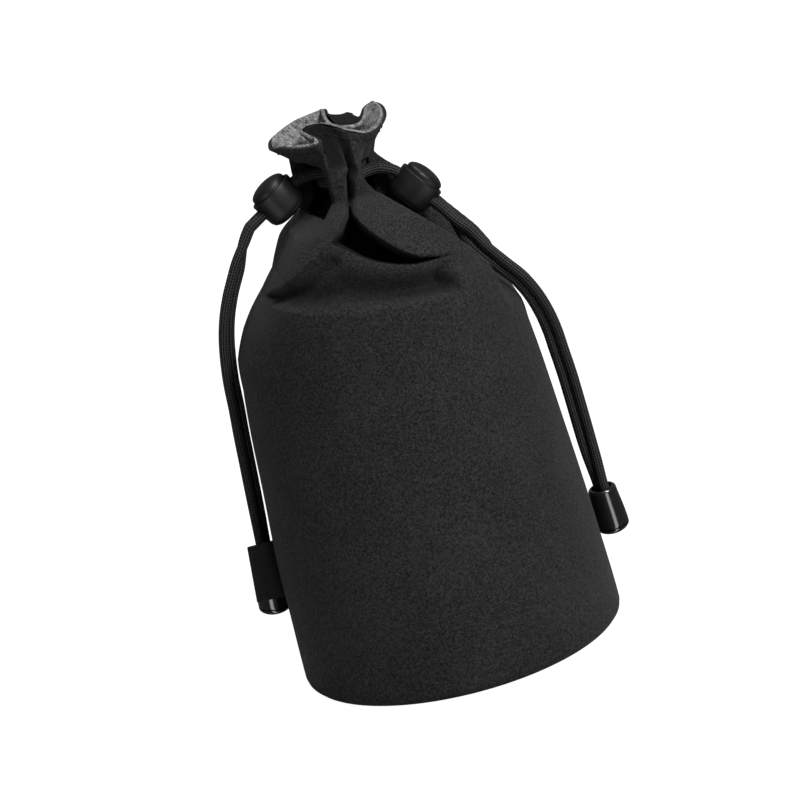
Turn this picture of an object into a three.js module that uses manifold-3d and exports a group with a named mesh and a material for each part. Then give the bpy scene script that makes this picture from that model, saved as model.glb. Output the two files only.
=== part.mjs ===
// A padded drawstring pouch for a camera lens, standing upright with its neck drawn shut.
// Two outer panels are sewn together at the sides, over a padded wall and a plush lining.
// Two cords run round the neck in a tunnel, one out of each side, through a spring cord lock
// and down to a bell-shaped cord end. Millimetres, +Z up, origin at the middle of the base.
// The front is -Y. Every cord lock is built about the middle of its cord hole: X runs out along
// the cords, Y across the pair of cords and Z up to the push button.
import * as THREE from "three";
import { mergeVertices } from "three/addons/utils/BufferGeometryUtils.js";
import Module from "manifold-3d";

const wasm = await Module();
wasm.setup();

// Clearances
const FIT_GAP = 0.3; // between pieces that touch
const SEAM_GAP = 0.3; // between the two outer panels at a side seam

// Fabric layers
const SHELL_THICKNESS = 1.2;
const PADDING_THICKNESS = 2.4;
const LINING_THICKNESS = 0.9;

// Body
const BASE_RADIUS = 58.5;
const BASE_EDGE_RADIUS = 4;
const BASE_PADDING_THICKNESS = 3;
const BODY_HEIGHT = 112; // where the shoulder starts to draw in
const BODY_TOP_RADIUS = 51;
const BODY_TAPER_POWER = 1.6; // over 1 draws the wall in more towards the top
const PADDING_STOP = 2; // the padding ends this far below the shoulder

// Shoulder: four folds stand out, with a valley between each two
const SHOULDER_HEIGHT = 59;
const SHOULDER_POWER = 5; // a full, rounded shoulder at the front and back
const SHOULDER_POWER_AT_SIDES = 2.7; // and a straighter one at the sides
const FOLD_RADIUS_AT_NECK = 18.5;
// Directions of the folds, in degrees from the front and positive to the right: left front, right
// front, right back and left back
const FOLDS_AT_NECK = [-32, 32, 126, 212];
const FOLDS_AT_MOUTH = [-50, 50, 130, 230];
// Each valley has a direction at the neck, starts and has its full depth this far below the neck, and
// deepens by a power. A higher width makes its section wider.
const VALLEYS = {
  left: { middle: -90, start: 8, full: 0, power: 1, width: 6 },
  front: { middle: 0, start: 28, full: 14, power: 1, width: 2 },
  right: { middle: 80, start: 54, full: 8, power: 1.4, width: 6 },
  back: { middle: 169, start: 32, full: 9, power: 1, width: 2 },
};

// Neck and mouth
const THROAT_RADIUS = 4.5; // the hole that is left when the cords are pulled tight
const TUNNEL_HEIGHT = 10;
const COLLAR_HEIGHT = 16;
const FOLD_RADIUS_AT_MOUTH = 27;
const SIDE_VALLEY_RADIUS_AT_MOUTH = 16;
const FRONT_VALLEY_RADIUS_AT_MOUTH = 12;
const MOUTH_RAKE = 4; // the rim is this much higher at the back and lower at the front
const LINING_FUNNEL = 8; // height over which the lining draws in below and above the tunnel
const EXIT_WIDTH = 14; // the open stretch of each side seam that the cords come out of
const EXIT_HEIGHT = 14;
const EXIT_CORNER = 4;

// Cords
const CORD_DIAMETER = 3.4;
const CORD_SIDES = 8;
const CORD_BEND = 6.8; // where a cord turns out of the tunnel
const CORD_LEAD = 0.6; // straight run at the exit

// Cord locks
const LOCK_RADIUS = 8.3;
const LOCK_WALL = 1;
const LOCK_FLOOR = 0.9;
const LOCK_RIM = 2.1; // wall above the cord hole
const LOCK_FOOT_ROUND = 3.4;
const LOCK_TRAVEL = 5; // the cords run straight this far past the lock
const BUTTON_TRAVEL = 2.2;
const BUTTON_FLOOR = 1; // presses the cords up against the barrel
const BUTTON_ROOF = 0.8;
const BUTTON_DOME = 2.8;
const SPRING_LENGTH = 3.2;
const SPRING_WIRE = 0.4;
const SPRING_RADIUS = 4;
const SPRING_TURNS = 2;
const SPRING_TURN_STEPS = 8;

// Bell-shaped cord ends
const BELL_TOP_RADIUS = 5.2;
const BELL_RADIUS = 6.1;
const BELL_LENGTH = 15;
const BELL_WALL = 1.4;
const BELL_NECK = 4; // length of the cord hole at its top
const PLUG_DOME = 3;
const PLUG_SPIGOT = 2;
const KNOT_HEIGHT = 6;

// Side tab, a folded tape in the left seam
const TAB_HEIGHT = 21.5;
const TAB_REACH = 9;
const TAB_TAPE = 0.8;
const TAB_FOLD_GAP = 0.4;
const TAB_MIDDLE = 43.8; // height of its middle

// Where each cord lock sits and how it hangs. away is its distance from the seam that its cords come
// out of, forward its place before the seam and drop its depth below the middle of the neck. lean is
// the tilt of the push button away from the pouch, turn brings the cord hole round to the front, and
// level is the loop's place above the middle of the tunnel, in cords. crossing is the stretch of the
// pair, as shares of its length, over which one cord goes behind the other.
const SIDES = [
  {
    name: "left",
    outward: -1,
    level: 1,
    lean: 30,
    turn: 8,
    lock: { away: 11.9, forward: 1, drop: 1.6 },
    crossing: [0.42, 0.6],
    // The pair of cords, from just past the lock down to the cord end
    fall: [
      [-40.2, -3.2, 161.2],
      [-44.4, -3.2, 153.4],
      [-48.4, -2.6, 146],
      [-51.6, -1.4, 138.4],
      [-53.8, 0.2, 131],
      [-55.4, 2, 123],
      [-56.6, 3.8, 114],
      [-57.2, 5.2, 104],
      [-58.2, 6.2, 94],
      [-59.2, 7, 83],
      [-60.2, 7.6, 72],
      [-61.2, 8.2, 61],
      [-62.4, 9, 50],
      [-63.6, 9.6, 39.4],
    ],
  },
  {
    name: "right",
    outward: 1,
    level: 0,
    lean: 52,
    turn: 12,
    lock: { away: 11.7, forward: 1.9, drop: 9.6 },
    crossing: [0.62, 0.74],
    fall: [
      [36.2, -6.5, 148],
      [40.2, -7.5, 141],
      [45.4, -8, 134],
      [50.6, -7, 127],
      [54, -5, 120],
      [56.4, -2, 112.4],
      [58, 1, 104],
      [58.8, 3.6, 95.6],
      [59.8, 5.4, 86],
      [60.4, 6.4, 76],
      [60.9, 7.2, 66],
      [61.5, 7.8, 57],
      [62.4, 8.6, 47.5],
      [63.4, 9.4, 38],
    ],
  },
];

const FABRIC = { color: 0x1b1b1c, roughness: 0.92, metalness: 0 };
const FOAM = { color: 0x3a3a3c, roughness: 0.95, metalness: 0 };
const PLUSH = { color: 0xb9b9ba, roughness: 1, metalness: 0 };
const BRAID = { color: 0x141415, roughness: 0.8, metalness: 0 };
const TAPE = { color: 0x222223, roughness: 0.85, metalness: 0 };
const SATIN_PLASTIC = { color: 0x1f1f20, roughness: 0.42, metalness: 0 };
const GLOSS_PLASTIC = { color: 0x0c0c0d, roughness: 0.16, metalness: 0 };
const STEEL = { color: 0x9a9da0, roughness: 0.3, metalness: 1 };

const neckLow = BODY_HEIGHT + SHOULDER_HEIGHT;
const neckHigh = neckLow + TUNNEL_HEIGHT;
const mouth = neckHigh + COLLAR_HEIGHT;
const neckMiddle = (neckLow + neckHigh) / 2;
const paddingTop = BODY_HEIGHT - PADDING_STOP;
const cordRadius = CORD_DIAMETER / 2;
const pairSpacing = CORD_DIAMETER + FIT_GAP;
const loopRadius = THROAT_RADIUS + LINING_THICKNESS + FIT_GAP + cordRadius;
const neckValleyRadius = loopRadius + cordRadius + FIT_GAP + SHELL_THICKNESS;

const { clamp, degToRad, euclideanModulo, lerp, radToDeg, smoothstep } = THREE.MathUtils;
const group = new THREE.Group();

function addMesh(parent, name, geometry, look) {
  const mesh = new THREE.Mesh(geometry, new THREE.MeshStandardMaterial(look));
  mesh.name = name;
  parent.add(mesh);
  return mesh;
}

// Solids for joins and cuts
function toSolid(geometry) {
  const bare = geometry.clone();
  bare.deleteAttribute("normal");
  bare.deleteAttribute("uv");
  const merged = mergeVertices(bare, 1e-4);
  const vertProperties = new Float32Array(merged.attributes.position.array);
  const triVerts = new Uint32Array(merged.index.array);
  return new wasm.Manifold(new wasm.Mesh({ numProp: 3, vertProperties, triVerts }));
}

function toGeometry(solid) {
  const mesh = solid.getMesh();
  const geometry = new THREE.BufferGeometry();
  geometry.setAttribute("position", new THREE.BufferAttribute(new Float32Array(mesh.vertProperties), 3));
  geometry.setIndex(new THREE.BufferAttribute(new Uint32Array(mesh.triVerts), 1));
  geometry.computeVertexNormals();
  return geometry;
}

function cut(geometry, ...tools) {
  const solid = tools.reduce((rest, tool) => rest.subtract(toSolid(tool)), toSolid(geometry));
  return toGeometry(solid);
}

function roundedRectangle(width, height, corner) {
  const r = Math.min(corner, width / 2, height / 2);
  const x = width / 2 - r;
  const y = height / 2 - r;
  const shape = new THREE.Shape();
  shape.absarc(x, y, r, 0, Math.PI / 2);
  shape.absarc(-x, y, r, Math.PI / 2, Math.PI);
  shape.absarc(-x, -y, r, Math.PI, Math.PI * 1.5);
  shape.absarc(x, -y, r, Math.PI * 1.5, Math.PI * 2);
  return shape;
}

// A prism along X with a rounded section, width across Y and height up Z, from x = -length / 2.
function crossPrism(width, height, corner, length) {
  const shape = roundedRectangle(width, height, corner);
  const prism = new THREE.ExtrudeGeometry(shape, { depth: length, bevelEnabled: false, curveSegments: 3 });
  prism.translate(0, 0, -length / 2);
  prism.applyMatrix4(
    new THREE.Matrix4().makeBasis(
      new THREE.Vector3(0, 1, 0),
      new THREE.Vector3(0, 0, 1),
      new THREE.Vector3(1, 0, 0),
    ),
  );
  return prism;
}

function turned(points, segments) {
  const profile = points.map(([r, z]) => new THREE.Vector2(r, z));
  return new THREE.LatheGeometry(profile, segments).rotateX(Math.PI / 2);
}

function arcPoints(centreR, centreZ, radius, from, to, steps) {
  return Array.from({ length: steps + 1 }, (_, i) => {
    const a = degToRad(lerp(from, to, i / steps));
    return [centreR + radius * Math.cos(a), centreZ + radius * Math.sin(a)];
  });
}

// The pouch's outer surface: radius at an angle about the axis and a height.
function foldRadius(z, angle = 0) {
  if (z <= BODY_HEIGHT) {
    const share = Math.max(z, 0) / BODY_HEIGHT;
    return BASE_RADIUS - (BASE_RADIUS - BODY_TOP_RADIUS) * share ** BODY_TAPER_POWER;
  }
  if (z <= neckLow) {
    const share = (z - BODY_HEIGHT) / SHOULDER_HEIGHT;
    const power = lerp(SHOULDER_POWER_AT_SIDES, SHOULDER_POWER, Math.abs(Math.sin(angle)));
    return lerp(BODY_TOP_RADIUS, FOLD_RADIUS_AT_NECK, share ** power);
  }
  return lerp(FOLD_RADIUS_AT_NECK, FOLD_RADIUS_AT_MOUTH, smoothstep(z, neckHigh, mouth));
}

function valleyRadius(z, angle, side) {
  const { start, full, power } = VALLEYS[side];
  const depth = clamp((start - (neckLow - z)) / (start - full), 0, 1) ** power;
  const atSeam = side === "left" || side === "right";
  const open = atSeam ? SIDE_VALLEY_RADIUS_AT_MOUTH : FRONT_VALLEY_RADIUS_AT_MOUTH;
  const neck = lerp(neckValleyRadius, Math.max(open, neckValleyRadius), smoothstep(z, neckHigh, mouth));
  return lerp(foldRadius(z, angle), neck, depth);
}

function shellRadius(angle, z) {
  const open = smoothstep(z, neckHigh, mouth);
  const folds = FOLDS_AT_NECK.map((turn, i) => lerp(turn, FOLDS_AT_MOUTH[i], open));
  const [leftFront, rightFront, rightBack, leftBack] = folds;
  const turn = leftBack - 360 + euclideanModulo(radToDeg(angle) + 90 - leftBack, 360);
  const between = {
    left: [leftBack - 360, leftFront],
    front: [leftFront, rightFront],
    right: [rightFront, rightBack],
    back: [rightBack, leftBack],
  };
  const side = Object.keys(between).find((name) => turn <= between[name][1]);
  const [before, after] = between[side];
  const middle = lerp(VALLEYS[side].middle, (before + after) / 2, open);
  const share = (turn - middle) / (turn < middle ? before - middle : after - middle);
  const standing = Math.sin((share * Math.PI) / 2) ** VALLEYS[side].width;
  return lerp(valleyRadius(z, angle, side), foldRadius(z, angle), standing);
}

// The lining keeps clear of the padding below, of the cords at the neck and of the shell elsewhere.
function liningRadius(angle, z) {
  const overPadding = SHELL_THICKNESS + PADDING_THICKNESS + 2 * FIT_GAP;
  const besideShell = SHELL_THICKNESS + FIT_GAP;
  const inset = lerp(overPadding, besideShell, smoothstep(z, paddingTop, paddingTop + LINING_FUNNEL));
  const below = smoothstep(z, neckLow - 1.5 * LINING_FUNNEL, neckLow - LINING_FUNNEL / 2);
  const above = smoothstep(z, neckHigh + LINING_FUNNEL / 2, neckHigh + 1.5 * LINING_FUNNEL);
  const drawnIn = below * (1 - above);
  return lerp(shellRadius(angle, z) - inset, THROAT_RADIUS + LINING_THICKNESS, drawnIn);
}

function rimHeight(angle, z) {
  return z + MOUTH_RAKE * Math.sin(angle) * smoothstep(z, neckHigh, mouth);
}

// A closed wall from an outer and an inner radius, over rows of heights and columns of angles.
// outer and inner give [radius, height] at an angle and a row; a full turn closes on itself.
function wall(rows, columns, outer, inner, place) {
  const closed = columns.closed;
  const angles = columns.angles;
  const across = angles.length;
  const up = rows.length;
  const position = [];
  for (const surface of [outer, inner])
    for (const row of rows)
      angles.forEach((angle, i) => {
        const [r, z] = surface(angle, row);
        position.push(...place(r, angle, z, !closed && (i === 0 || i === across - 1)));
      });
  const at = (surface, row, column) => (surface * up + row) * across + (column % across);
  const index = [];
  const quad = (a, b, c, d) => index.push(a, b, c, a, c, d);
  const spans = closed ? across : across - 1;
  for (let i = 0; i < spans; i++) {
    for (let j = 0; j < up - 1; j++) {
      quad(at(0, j, i), at(0, j, i + 1), at(0, j + 1, i + 1), at(0, j + 1, i));
      quad(at(1, j, i), at(1, j + 1, i), at(1, j + 1, i + 1), at(1, j, i + 1));
    }
    quad(at(0, 0, i), at(1, 0, i), at(1, 0, i + 1), at(0, 0, i + 1));
    quad(at(0, up - 1, i), at(0, up - 1, i + 1), at(1, up - 1, i + 1), at(1, up - 1, i));
  }
  if (!closed)
    for (let j = 0; j < up - 1; j++) {
      quad(at(0, j, 0), at(0, j + 1, 0), at(1, j + 1, 0), at(1, j, 0));
      quad(at(0, j, spans), at(1, j, spans), at(1, j + 1, spans), at(0, j + 1, spans));
    }
  const geometry = new THREE.BufferGeometry();
  geometry.setAttribute("position", new THREE.Float32BufferAttribute(position, 3));
  geometry.setIndex(index);
  geometry.computeVertexNormals();
  return geometry;
}

const PANEL_COLUMNS = 18;
const polar = (r, angle, z) => [r * Math.cos(angle), r * Math.sin(angle), z];
const fullTurn = {
  closed: true,
  angles: Array.from({ length: 2 * PANEL_COLUMNS }, (_, i) => (i * Math.PI) / PANEL_COLUMNS),
};
const spread = (from, to, steps) => Array.from({ length: steps }, (_, i) => lerp(from, to, i / steps));
const bodyRows = [...spread(BASE_EDGE_RADIUS, paddingTop, 4), paddingTop];
const shoulderRows = spread(BODY_HEIGHT, neckLow, 10);
const neckRows = spread(neckLow, neckHigh, 1);
const collarRows = [...spread(neckHigh, mouth, 5), mouth];
const wallRows = [...bodyRows, ...shoulderRows, ...neckRows, ...collarRows];

function buildShell() {
  // The wall turns in under the base along a quarter circle, given as rows below the body's.
  const turnIn = [270, 300, 330].map((degrees) => ({ turn: degToRad(degrees) }));
  const rows = [...turnIn, ...wallRows];
  const surface = (inset) => (angle, row) => {
    if (row.turn === undefined) return [shellRadius(angle, row) - inset, rimHeight(angle, row)];
    const centre = foldRadius(BASE_EDGE_RADIUS) - BASE_EDGE_RADIUS;
    const radius = BASE_EDGE_RADIUS - inset;
    return [centre + radius * Math.cos(row.turn), BASE_EDGE_RADIUS + radius * Math.sin(row.turn)];
  };
  const exits = [-1, 1].map((outward) =>
    crossPrism(EXIT_WIDTH, EXIT_HEIGHT, EXIT_CORNER, 2 * neckValleyRadius).translate(
      outward * (loopRadius + neckValleyRadius),
      0,
      neckMiddle,
    ),
  );
  const panels = { outer_front_panel: Math.PI, outer_back_panel: 0 };
  for (const [name, first] of Object.entries(panels)) {
    const facing = first ? -1 : 1;
    const columns = {
      closed: false,
      angles: Array.from({ length: PANEL_COLUMNS + 1 }, (_, i) => first + (i * Math.PI) / PANEL_COLUMNS),
    };
    const place = (r, angle, z, seam) => {
      const [x, y] = polar(r, angle, z);
      return [x, seam ? (facing * SEAM_GAP) / 2 : y, z];
    };
    const panel = wall(rows, columns, surface(0), surface(SHELL_THICKNESS), place);
    addMesh(group, name, cut(panel, ...exits), FABRIC);
  }
}

const baseDiscRadius = foldRadius(BASE_EDGE_RADIUS) - BASE_EDGE_RADIUS - FIT_GAP;
const basePaddingLow = SHELL_THICKNESS + FIT_GAP;
const baseLiningLow = basePaddingLow + BASE_PADDING_THICKNESS + FIT_GAP;

function disc(radius, low, thickness) {
  const profile = [
    [0, low],
    [radius, low],
    [radius, low + thickness],
    [0, low + thickness],
  ];
  return turned(profile, 2 * PANEL_COLUMNS);
}

function buildLayers() {
  const paddingRows = [baseLiningLow, ...bodyRows.slice(1)];
  const paddingInset = SHELL_THICKNESS + FIT_GAP;
  const padding = (inset) => (angle, z) => [shellRadius(angle, z) - paddingInset - inset, z];
  const foam = wall(paddingRows, fullTurn, padding(0), padding(PADDING_THICKNESS), polar);
  addMesh(group, "wall_padding", foam, FOAM);

  const liningRows = [baseLiningLow, ...wallRows.slice(1)];
  const lining = (inset) => (angle, z) => [liningRadius(angle, z) - inset, rimHeight(angle, z)];
  const plush = wall(liningRows, fullTurn, lining(0), lining(LINING_THICKNESS), polar);
  addMesh(group, "plush_lining", plush, PLUSH);

  const liningDiscRadius = liningRadius(0, baseLiningLow) - LINING_THICKNESS - FIT_GAP;
  addMesh(group, "base_panel", disc(baseDiscRadius, 0, SHELL_THICKNESS), FABRIC);
  const basePadding = disc(baseDiscRadius - FIT_GAP, basePaddingLow, BASE_PADDING_THICKNESS);
  addMesh(group, "base_padding", basePadding, FOAM);
  addMesh(group, "base_lining", disc(liningDiscRadius, baseLiningLow, LINING_THICKNESS), PLUSH);
}

// The tape is folded double, with its two ends at the seam and the fold outermost.
function buildTab() {
  const half = TAB_FOLD_GAP / 2 + TAB_TAPE;
  const bend = TAB_REACH - half;
  const outline = new THREE.Shape();
  outline.moveTo(0, -half);
  outline.lineTo(bend, -half);
  outline.absarc(bend, 0, half, -Math.PI / 2, Math.PI / 2);
  outline.lineTo(0, half);
  outline.lineTo(0, TAB_FOLD_GAP / 2);
  outline.lineTo(bend, TAB_FOLD_GAP / 2);
  outline.absarc(bend, 0, TAB_FOLD_GAP / 2, Math.PI / 2, -Math.PI / 2, true);
  outline.lineTo(0, -TAB_FOLD_GAP / 2);
  const depth = TAB_HEIGHT;
  const tape = new THREE.ExtrudeGeometry(outline, { depth, bevelEnabled: false, curveSegments: 4 });
  tape.translate(0, 0, -TAB_HEIGHT / 2);
  const rise = foldRadius(TAB_MIDDLE - TAB_HEIGHT / 2) - foldRadius(TAB_MIDDLE + TAB_HEIGHT / 2);
  const tab = addMesh(group, "side_tab", tape, TAPE);
  const lowEnd = foldRadius(TAB_MIDDLE - TAB_HEIGHT / 2);
  tab.rotation.set(0, Math.atan2(rise, TAB_HEIGHT), Math.PI);
  tab.position.set(-(lowEnd - rise / 2 + 1.5 * FIT_GAP), 0, TAB_MIDDLE);
}

function tube(curve, radius, sides, steps) {
  const section = new THREE.Shape(
    Array.from({ length: sides }, (_, i) => {
      const a = (2 * Math.PI * (i + 0.5)) / sides;
      return new THREE.Vector2(radius * Math.cos(a), radius * Math.sin(a));
    }),
  );
  return new THREE.ExtrudeGeometry(section, { steps, bevelEnabled: false, extrudePath: curve });
}

// Where a pair of cords turns out of the tunnel: the turn's centre is CORD_BEND outside the loop.
const exitTurnY = pairSpacing / 2 + CORD_BEND;
const exitTurnX = Math.sqrt((loopRadius + CORD_BEND) ** 2 - exitTurnY ** 2);
const exitAngle = Math.asin(exitTurnY / (loopRadius + CORD_BEND));
const exitX = exitTurnX + CORD_LEAD;

const LOOP_STEPS = 30;

function buildLoop(side) {
  const z = neckMiddle + side.level * pairSpacing;
  const point = (x, y) => new THREE.Vector3(side.outward * x, side.outward * y, z);
  const turnSteps = 3;
  const roundSteps = 18;
  const points = [point(exitX, -pairSpacing / 2)];
  for (let i = 0; i < turnSteps; i++) {
    const a = lerp(Math.PI / 2, Math.PI - exitAngle, i / turnSteps);
    points.push(point(exitTurnX + CORD_BEND * Math.cos(a), CORD_BEND * Math.sin(a) - exitTurnY));
  }
  for (let i = 0; i <= roundSteps; i++) {
    const a = lerp(-exitAngle, exitAngle - 2 * Math.PI, i / roundSteps);
    points.push(point(loopRadius * Math.cos(a), loopRadius * Math.sin(a)));
  }
  for (let i = turnSteps - 1; i >= 0; i--) {
    const a = lerp(Math.PI / 2, Math.PI - exitAngle, i / turnSteps);
    points.push(point(exitTurnX + CORD_BEND * Math.cos(a), exitTurnY - CORD_BEND * Math.sin(a)));
  }
  points.push(point(exitX, pairSpacing / 2));
  const curve = new THREE.CatmullRomCurve3(points, false, "centripetal");
  addMesh(group, `${side.name}_cord_loop`, tube(curve, cordRadius, CORD_SIDES, LOOP_STEPS), BRAID);
}

// The middle of a cord lock's hole.
function lockMiddle(side) {
  const { away, forward, drop } = side.lock;
  return new THREE.Vector3(side.outward * (exitX + away), -forward, neckMiddle - drop);
}

// The directions of a cord lock: out along the cords, across the pair and up to the button.
function lockAxes(side) {
  const lean = degToRad(side.lean);
  const turn = degToRad(side.turn);
  const up = new THREE.Vector3(side.outward * Math.sin(lean), 0, Math.cos(lean));
  const away = new THREE.Vector3(side.outward * Math.cos(lean), 0, -Math.sin(lean));
  const out = away.multiplyScalar(Math.cos(turn)).add(new THREE.Vector3(0, -Math.sin(turn), 0));
  const across = new THREE.Vector3().crossVectors(up, out);
  return { out, across, up };
}

// The middle line of a pair of cords from the seam to the cord end.
function pairRoute(side) {
  const { out } = lockAxes(side);
  const lock = lockMiddle(side);
  const along = (distance) => lock.clone().addScaledVector(out, distance);
  const z = neckMiddle + side.level * pairSpacing;
  const leaving = (distance) => new THREE.Vector3(side.outward * (exitX + distance), 0, z);
  const seam = [FIT_GAP, FIT_GAP + CORD_LEAD].map(leaving);
  const inlet = -LOCK_RADIUS - CORD_LEAD;
  const outlet = LOCK_RADIUS + LOCK_TRAVEL;
  const through = [inlet, inlet / 2, 0, outlet / 2, outlet, outlet + CORD_LEAD].map(along);
  const fall = side.fall.map((p) => new THREE.Vector3(...p));
  return new THREE.CatmullRomCurve3([...seam, ...through, ...fall], false, "centripetal");
}

const ROUTE_STEPS = 26;
const ROUTE_SAMPLES = 3 * ROUTE_STEPS;

// The two cords lie side by side: across the lock's hole at first, then one outside the other, and
// further down one behind the other.
function pairCords(side) {
  const route = pairRoute(side);
  const { across } = lockAxes(side);
  const forward = new THREE.Vector3(0, -1, 0);
  const inLock = across.clone().multiplyScalar(Math.sign(-across.y));
  const hanging = new THREE.Vector3(side.outward, 0, 0);
  const behind = new THREE.Vector3(0.3 * side.outward, -1, 0);
  const cords = { front: [], rear: [] };
  const shares = Array.from({ length: ROUTE_SAMPLES + 1 }, (_, i) => i / ROUTE_SAMPLES);
  shares.splice(1, 0, CORD_LEAD / 2 / route.getLength());
  for (const share of shares) {
    const point = route.getPointAt(share);
    const tangent = route.getTangentAt(share);
    const apart = forward.clone().lerp(inLock, smoothstep(share, 0.015, 0.06));
    apart.lerp(hanging, smoothstep(share, 0.19, 0.3));
    apart.lerp(behind, smoothstep(share, ...side.crossing));
    apart.addScaledVector(tangent, -apart.dot(tangent)).normalize();
    cords.front.push(point.clone().addScaledVector(apart, pairSpacing / 2));
    cords.rear.push(point.clone().addScaledVector(apart, -pairSpacing / 2));
  }
  return { ...cords, end: route.getPointAt(1), heading: route.getTangentAt(1) };
}

const holeWidth = 2 * CORD_DIAMETER + 3 * FIT_GAP;
const holeHeight = CORD_DIAMETER + 2 * FIT_GAP;
const buttonRadius = LOCK_RADIUS - LOCK_WALL - FIT_GAP;
const plungerLow = -holeHeight / 2 - BUTTON_FLOOR;
const barrelFloor = plungerLow - SPRING_LENGTH;
const barrelLow = barrelFloor - LOCK_FLOOR;
const rimTop = holeHeight / 2 + LOCK_RIM;
const buttonHoleTop = holeHeight / 2 + BUTTON_TRAVEL;
const domeLow = buttonHoleTop + BUTTON_ROOF;
const LOCK_SEGMENTS = 24;
const BELL_SEGMENTS = 18;

function buildLock(side) {
  const { out, across, up } = lockAxes(side);
  const lock = new THREE.Group();
  lock.quaternion.setFromRotationMatrix(new THREE.Matrix4().makeBasis(out, across, up));
  lock.position.copy(lockMiddle(side));
  group.add(lock);

  const footR = LOCK_RADIUS - LOCK_FOOT_ROUND;
  const foot = arcPoints(footR, barrelLow + LOCK_FOOT_ROUND, LOCK_FOOT_ROUND, 270, 360, 4);
  const lip = arcPoints(LOCK_RADIUS - LOCK_WALL / 2, rimTop - LOCK_WALL / 2, LOCK_WALL / 2, 0, 180, 4);
  const bore = LOCK_RADIUS - LOCK_WALL;
  const profile = [[0, barrelLow], ...foot, ...lip, [bore, barrelFloor], [0, barrelFloor]];
  const barrel = turned(profile, LOCK_SEGMENTS);
  const cordHole = crossPrism(holeWidth, holeHeight, holeHeight / 2, 3 * LOCK_RADIUS);
  addMesh(lock, `${side.name}_lock_barrel`, cut(barrel, cordHole), SATIN_PLASTIC);

  const dome = Array.from({ length: 6 }, (_, i) => {
    const a = ((i / 5) * Math.PI) / 2;
    return [buttonRadius * Math.cos(a), domeLow + BUTTON_DOME * Math.sin(a)];
  });
  dome[5][0] = 0;
  const plunger = turned([[0, plungerLow], [buttonRadius, plungerLow], ...dome], LOCK_SEGMENTS);
  const slotHeight = holeHeight + BUTTON_TRAVEL;
  const slot = crossPrism(holeWidth, slotHeight, holeHeight / 2, 3 * LOCK_RADIUS);
  slot.translate(0, 0, BUTTON_TRAVEL / 2);
  addMesh(lock, `${side.name}_lock_button`, cut(plunger, slot), SATIN_PLASTIC);

  const seat = FIT_GAP / 2 + SPRING_WIRE / 2;
  const coil = SPRING_LENGTH - 2 * seat;
  const springSteps = SPRING_TURNS * SPRING_TURN_STEPS;
  const turns = Array.from({ length: springSteps + 1 }, (_, i) => {
    const a = (2 * Math.PI * i) / SPRING_TURN_STEPS;
    const z = barrelFloor + seat + (coil * i) / springSteps;
    return new THREE.Vector3(SPRING_RADIUS * Math.cos(a), SPRING_RADIUS * Math.sin(a), z);
  });
  const spring = tube(new THREE.CatmullRomCurve3(turns), SPRING_WIRE / 2, 5, springSteps);
  addMesh(lock, `${side.name}_lock_spring`, spring, STEEL);
}

// The cords' ends are knotted together inside the bell, and a domed plug closes it.
function buildCordEnd(side, end, heading) {
  const bell = new THREE.Group();
  bell.quaternion.setFromUnitVectors(new THREE.Vector3(0, 0, -1), heading);
  bell.position.copy(end);
  group.add(bell);

  const bellTop = BELL_NECK;
  const bellLow = bellTop - BELL_LENGTH;
  const cordHole = pairSpacing / 2 + cordRadius + FIT_GAP;
  const cavity = BELL_RADIUS - BELL_WALL;
  const cavityTop = cordHole - cavity;
  const crown = arcPoints(BELL_TOP_RADIUS - 1, bellTop - 1, 1, 0, 90, 3);
  const shell = turned(
    [
      [cordHole, bellTop],
      [cordHole, 0],
      [cavity, cavityTop],
      [cavity, bellLow],
      [BELL_RADIUS, bellLow],
      ...crown,
      [cordHole, bellTop],
    ],
    BELL_SEGMENTS,
  );
  addMesh(bell, `${side.name}_bell`, shell, GLOSS_PLASTIC);

  const plugTop = bellLow - FIT_GAP;
  const spigot = cavity - FIT_GAP;
  const dome = Array.from({ length: 6 }, (_, i) => {
    const a = ((i / 5 - 1) * Math.PI) / 2;
    return [BELL_RADIUS * Math.cos(a), plugTop + PLUG_DOME * Math.sin(a)];
  });
  dome[0][0] = 0;
  const spigotTop = plugTop + PLUG_SPIGOT;
  const plug = turned([...dome, [spigot, plugTop], [spigot, spigotTop], [0, spigotTop]], BELL_SEGMENTS);
  addMesh(bell, `${side.name}_bell_plug`, plug, GLOSS_PLASTIC);

  const knot = new THREE.SphereGeometry(1, 12, 8).rotateX(Math.PI / 2);
  const knotRadius = cavity - FIT_GAP;
  knot.scale(knotRadius, knotRadius, KNOT_HEIGHT / 2);
  knot.translate(0, 0, Math.min(cavityTop, 0) - FIT_GAP - KNOT_HEIGHT / 2);
  addMesh(bell, `${side.name}_cord_knot`, knot, BRAID);
}

buildShell();
buildLayers();
buildTab();
for (const side of SIDES) {
  const cords = pairCords(side);
  buildLoop(side);
  for (const which of ["front", "rear"]) {
    const curve = new THREE.CatmullRomCurve3(cords[which], false, "centripetal");
    addMesh(group, `${side.name}_cord_${which}`, tube(curve, cordRadius, CORD_SIDES, ROUTE_STEPS), BRAID);
  }
  buildLock(side);
  buildCordEnd(side, cords.end, cords.heading);
}

export default group;
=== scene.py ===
"""Dresses the lens pouch: black soft-shell over foam and grey plush, drawn shut by two braided cords.

Metres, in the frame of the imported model: +Z up, the front towards -Y, the tab's seam towards -X.
An angle round the pouch is counted from the front, positive to the right.
"""
import math

import bpy
import numpy as np
from mathutils import Matrix, Vector


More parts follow.
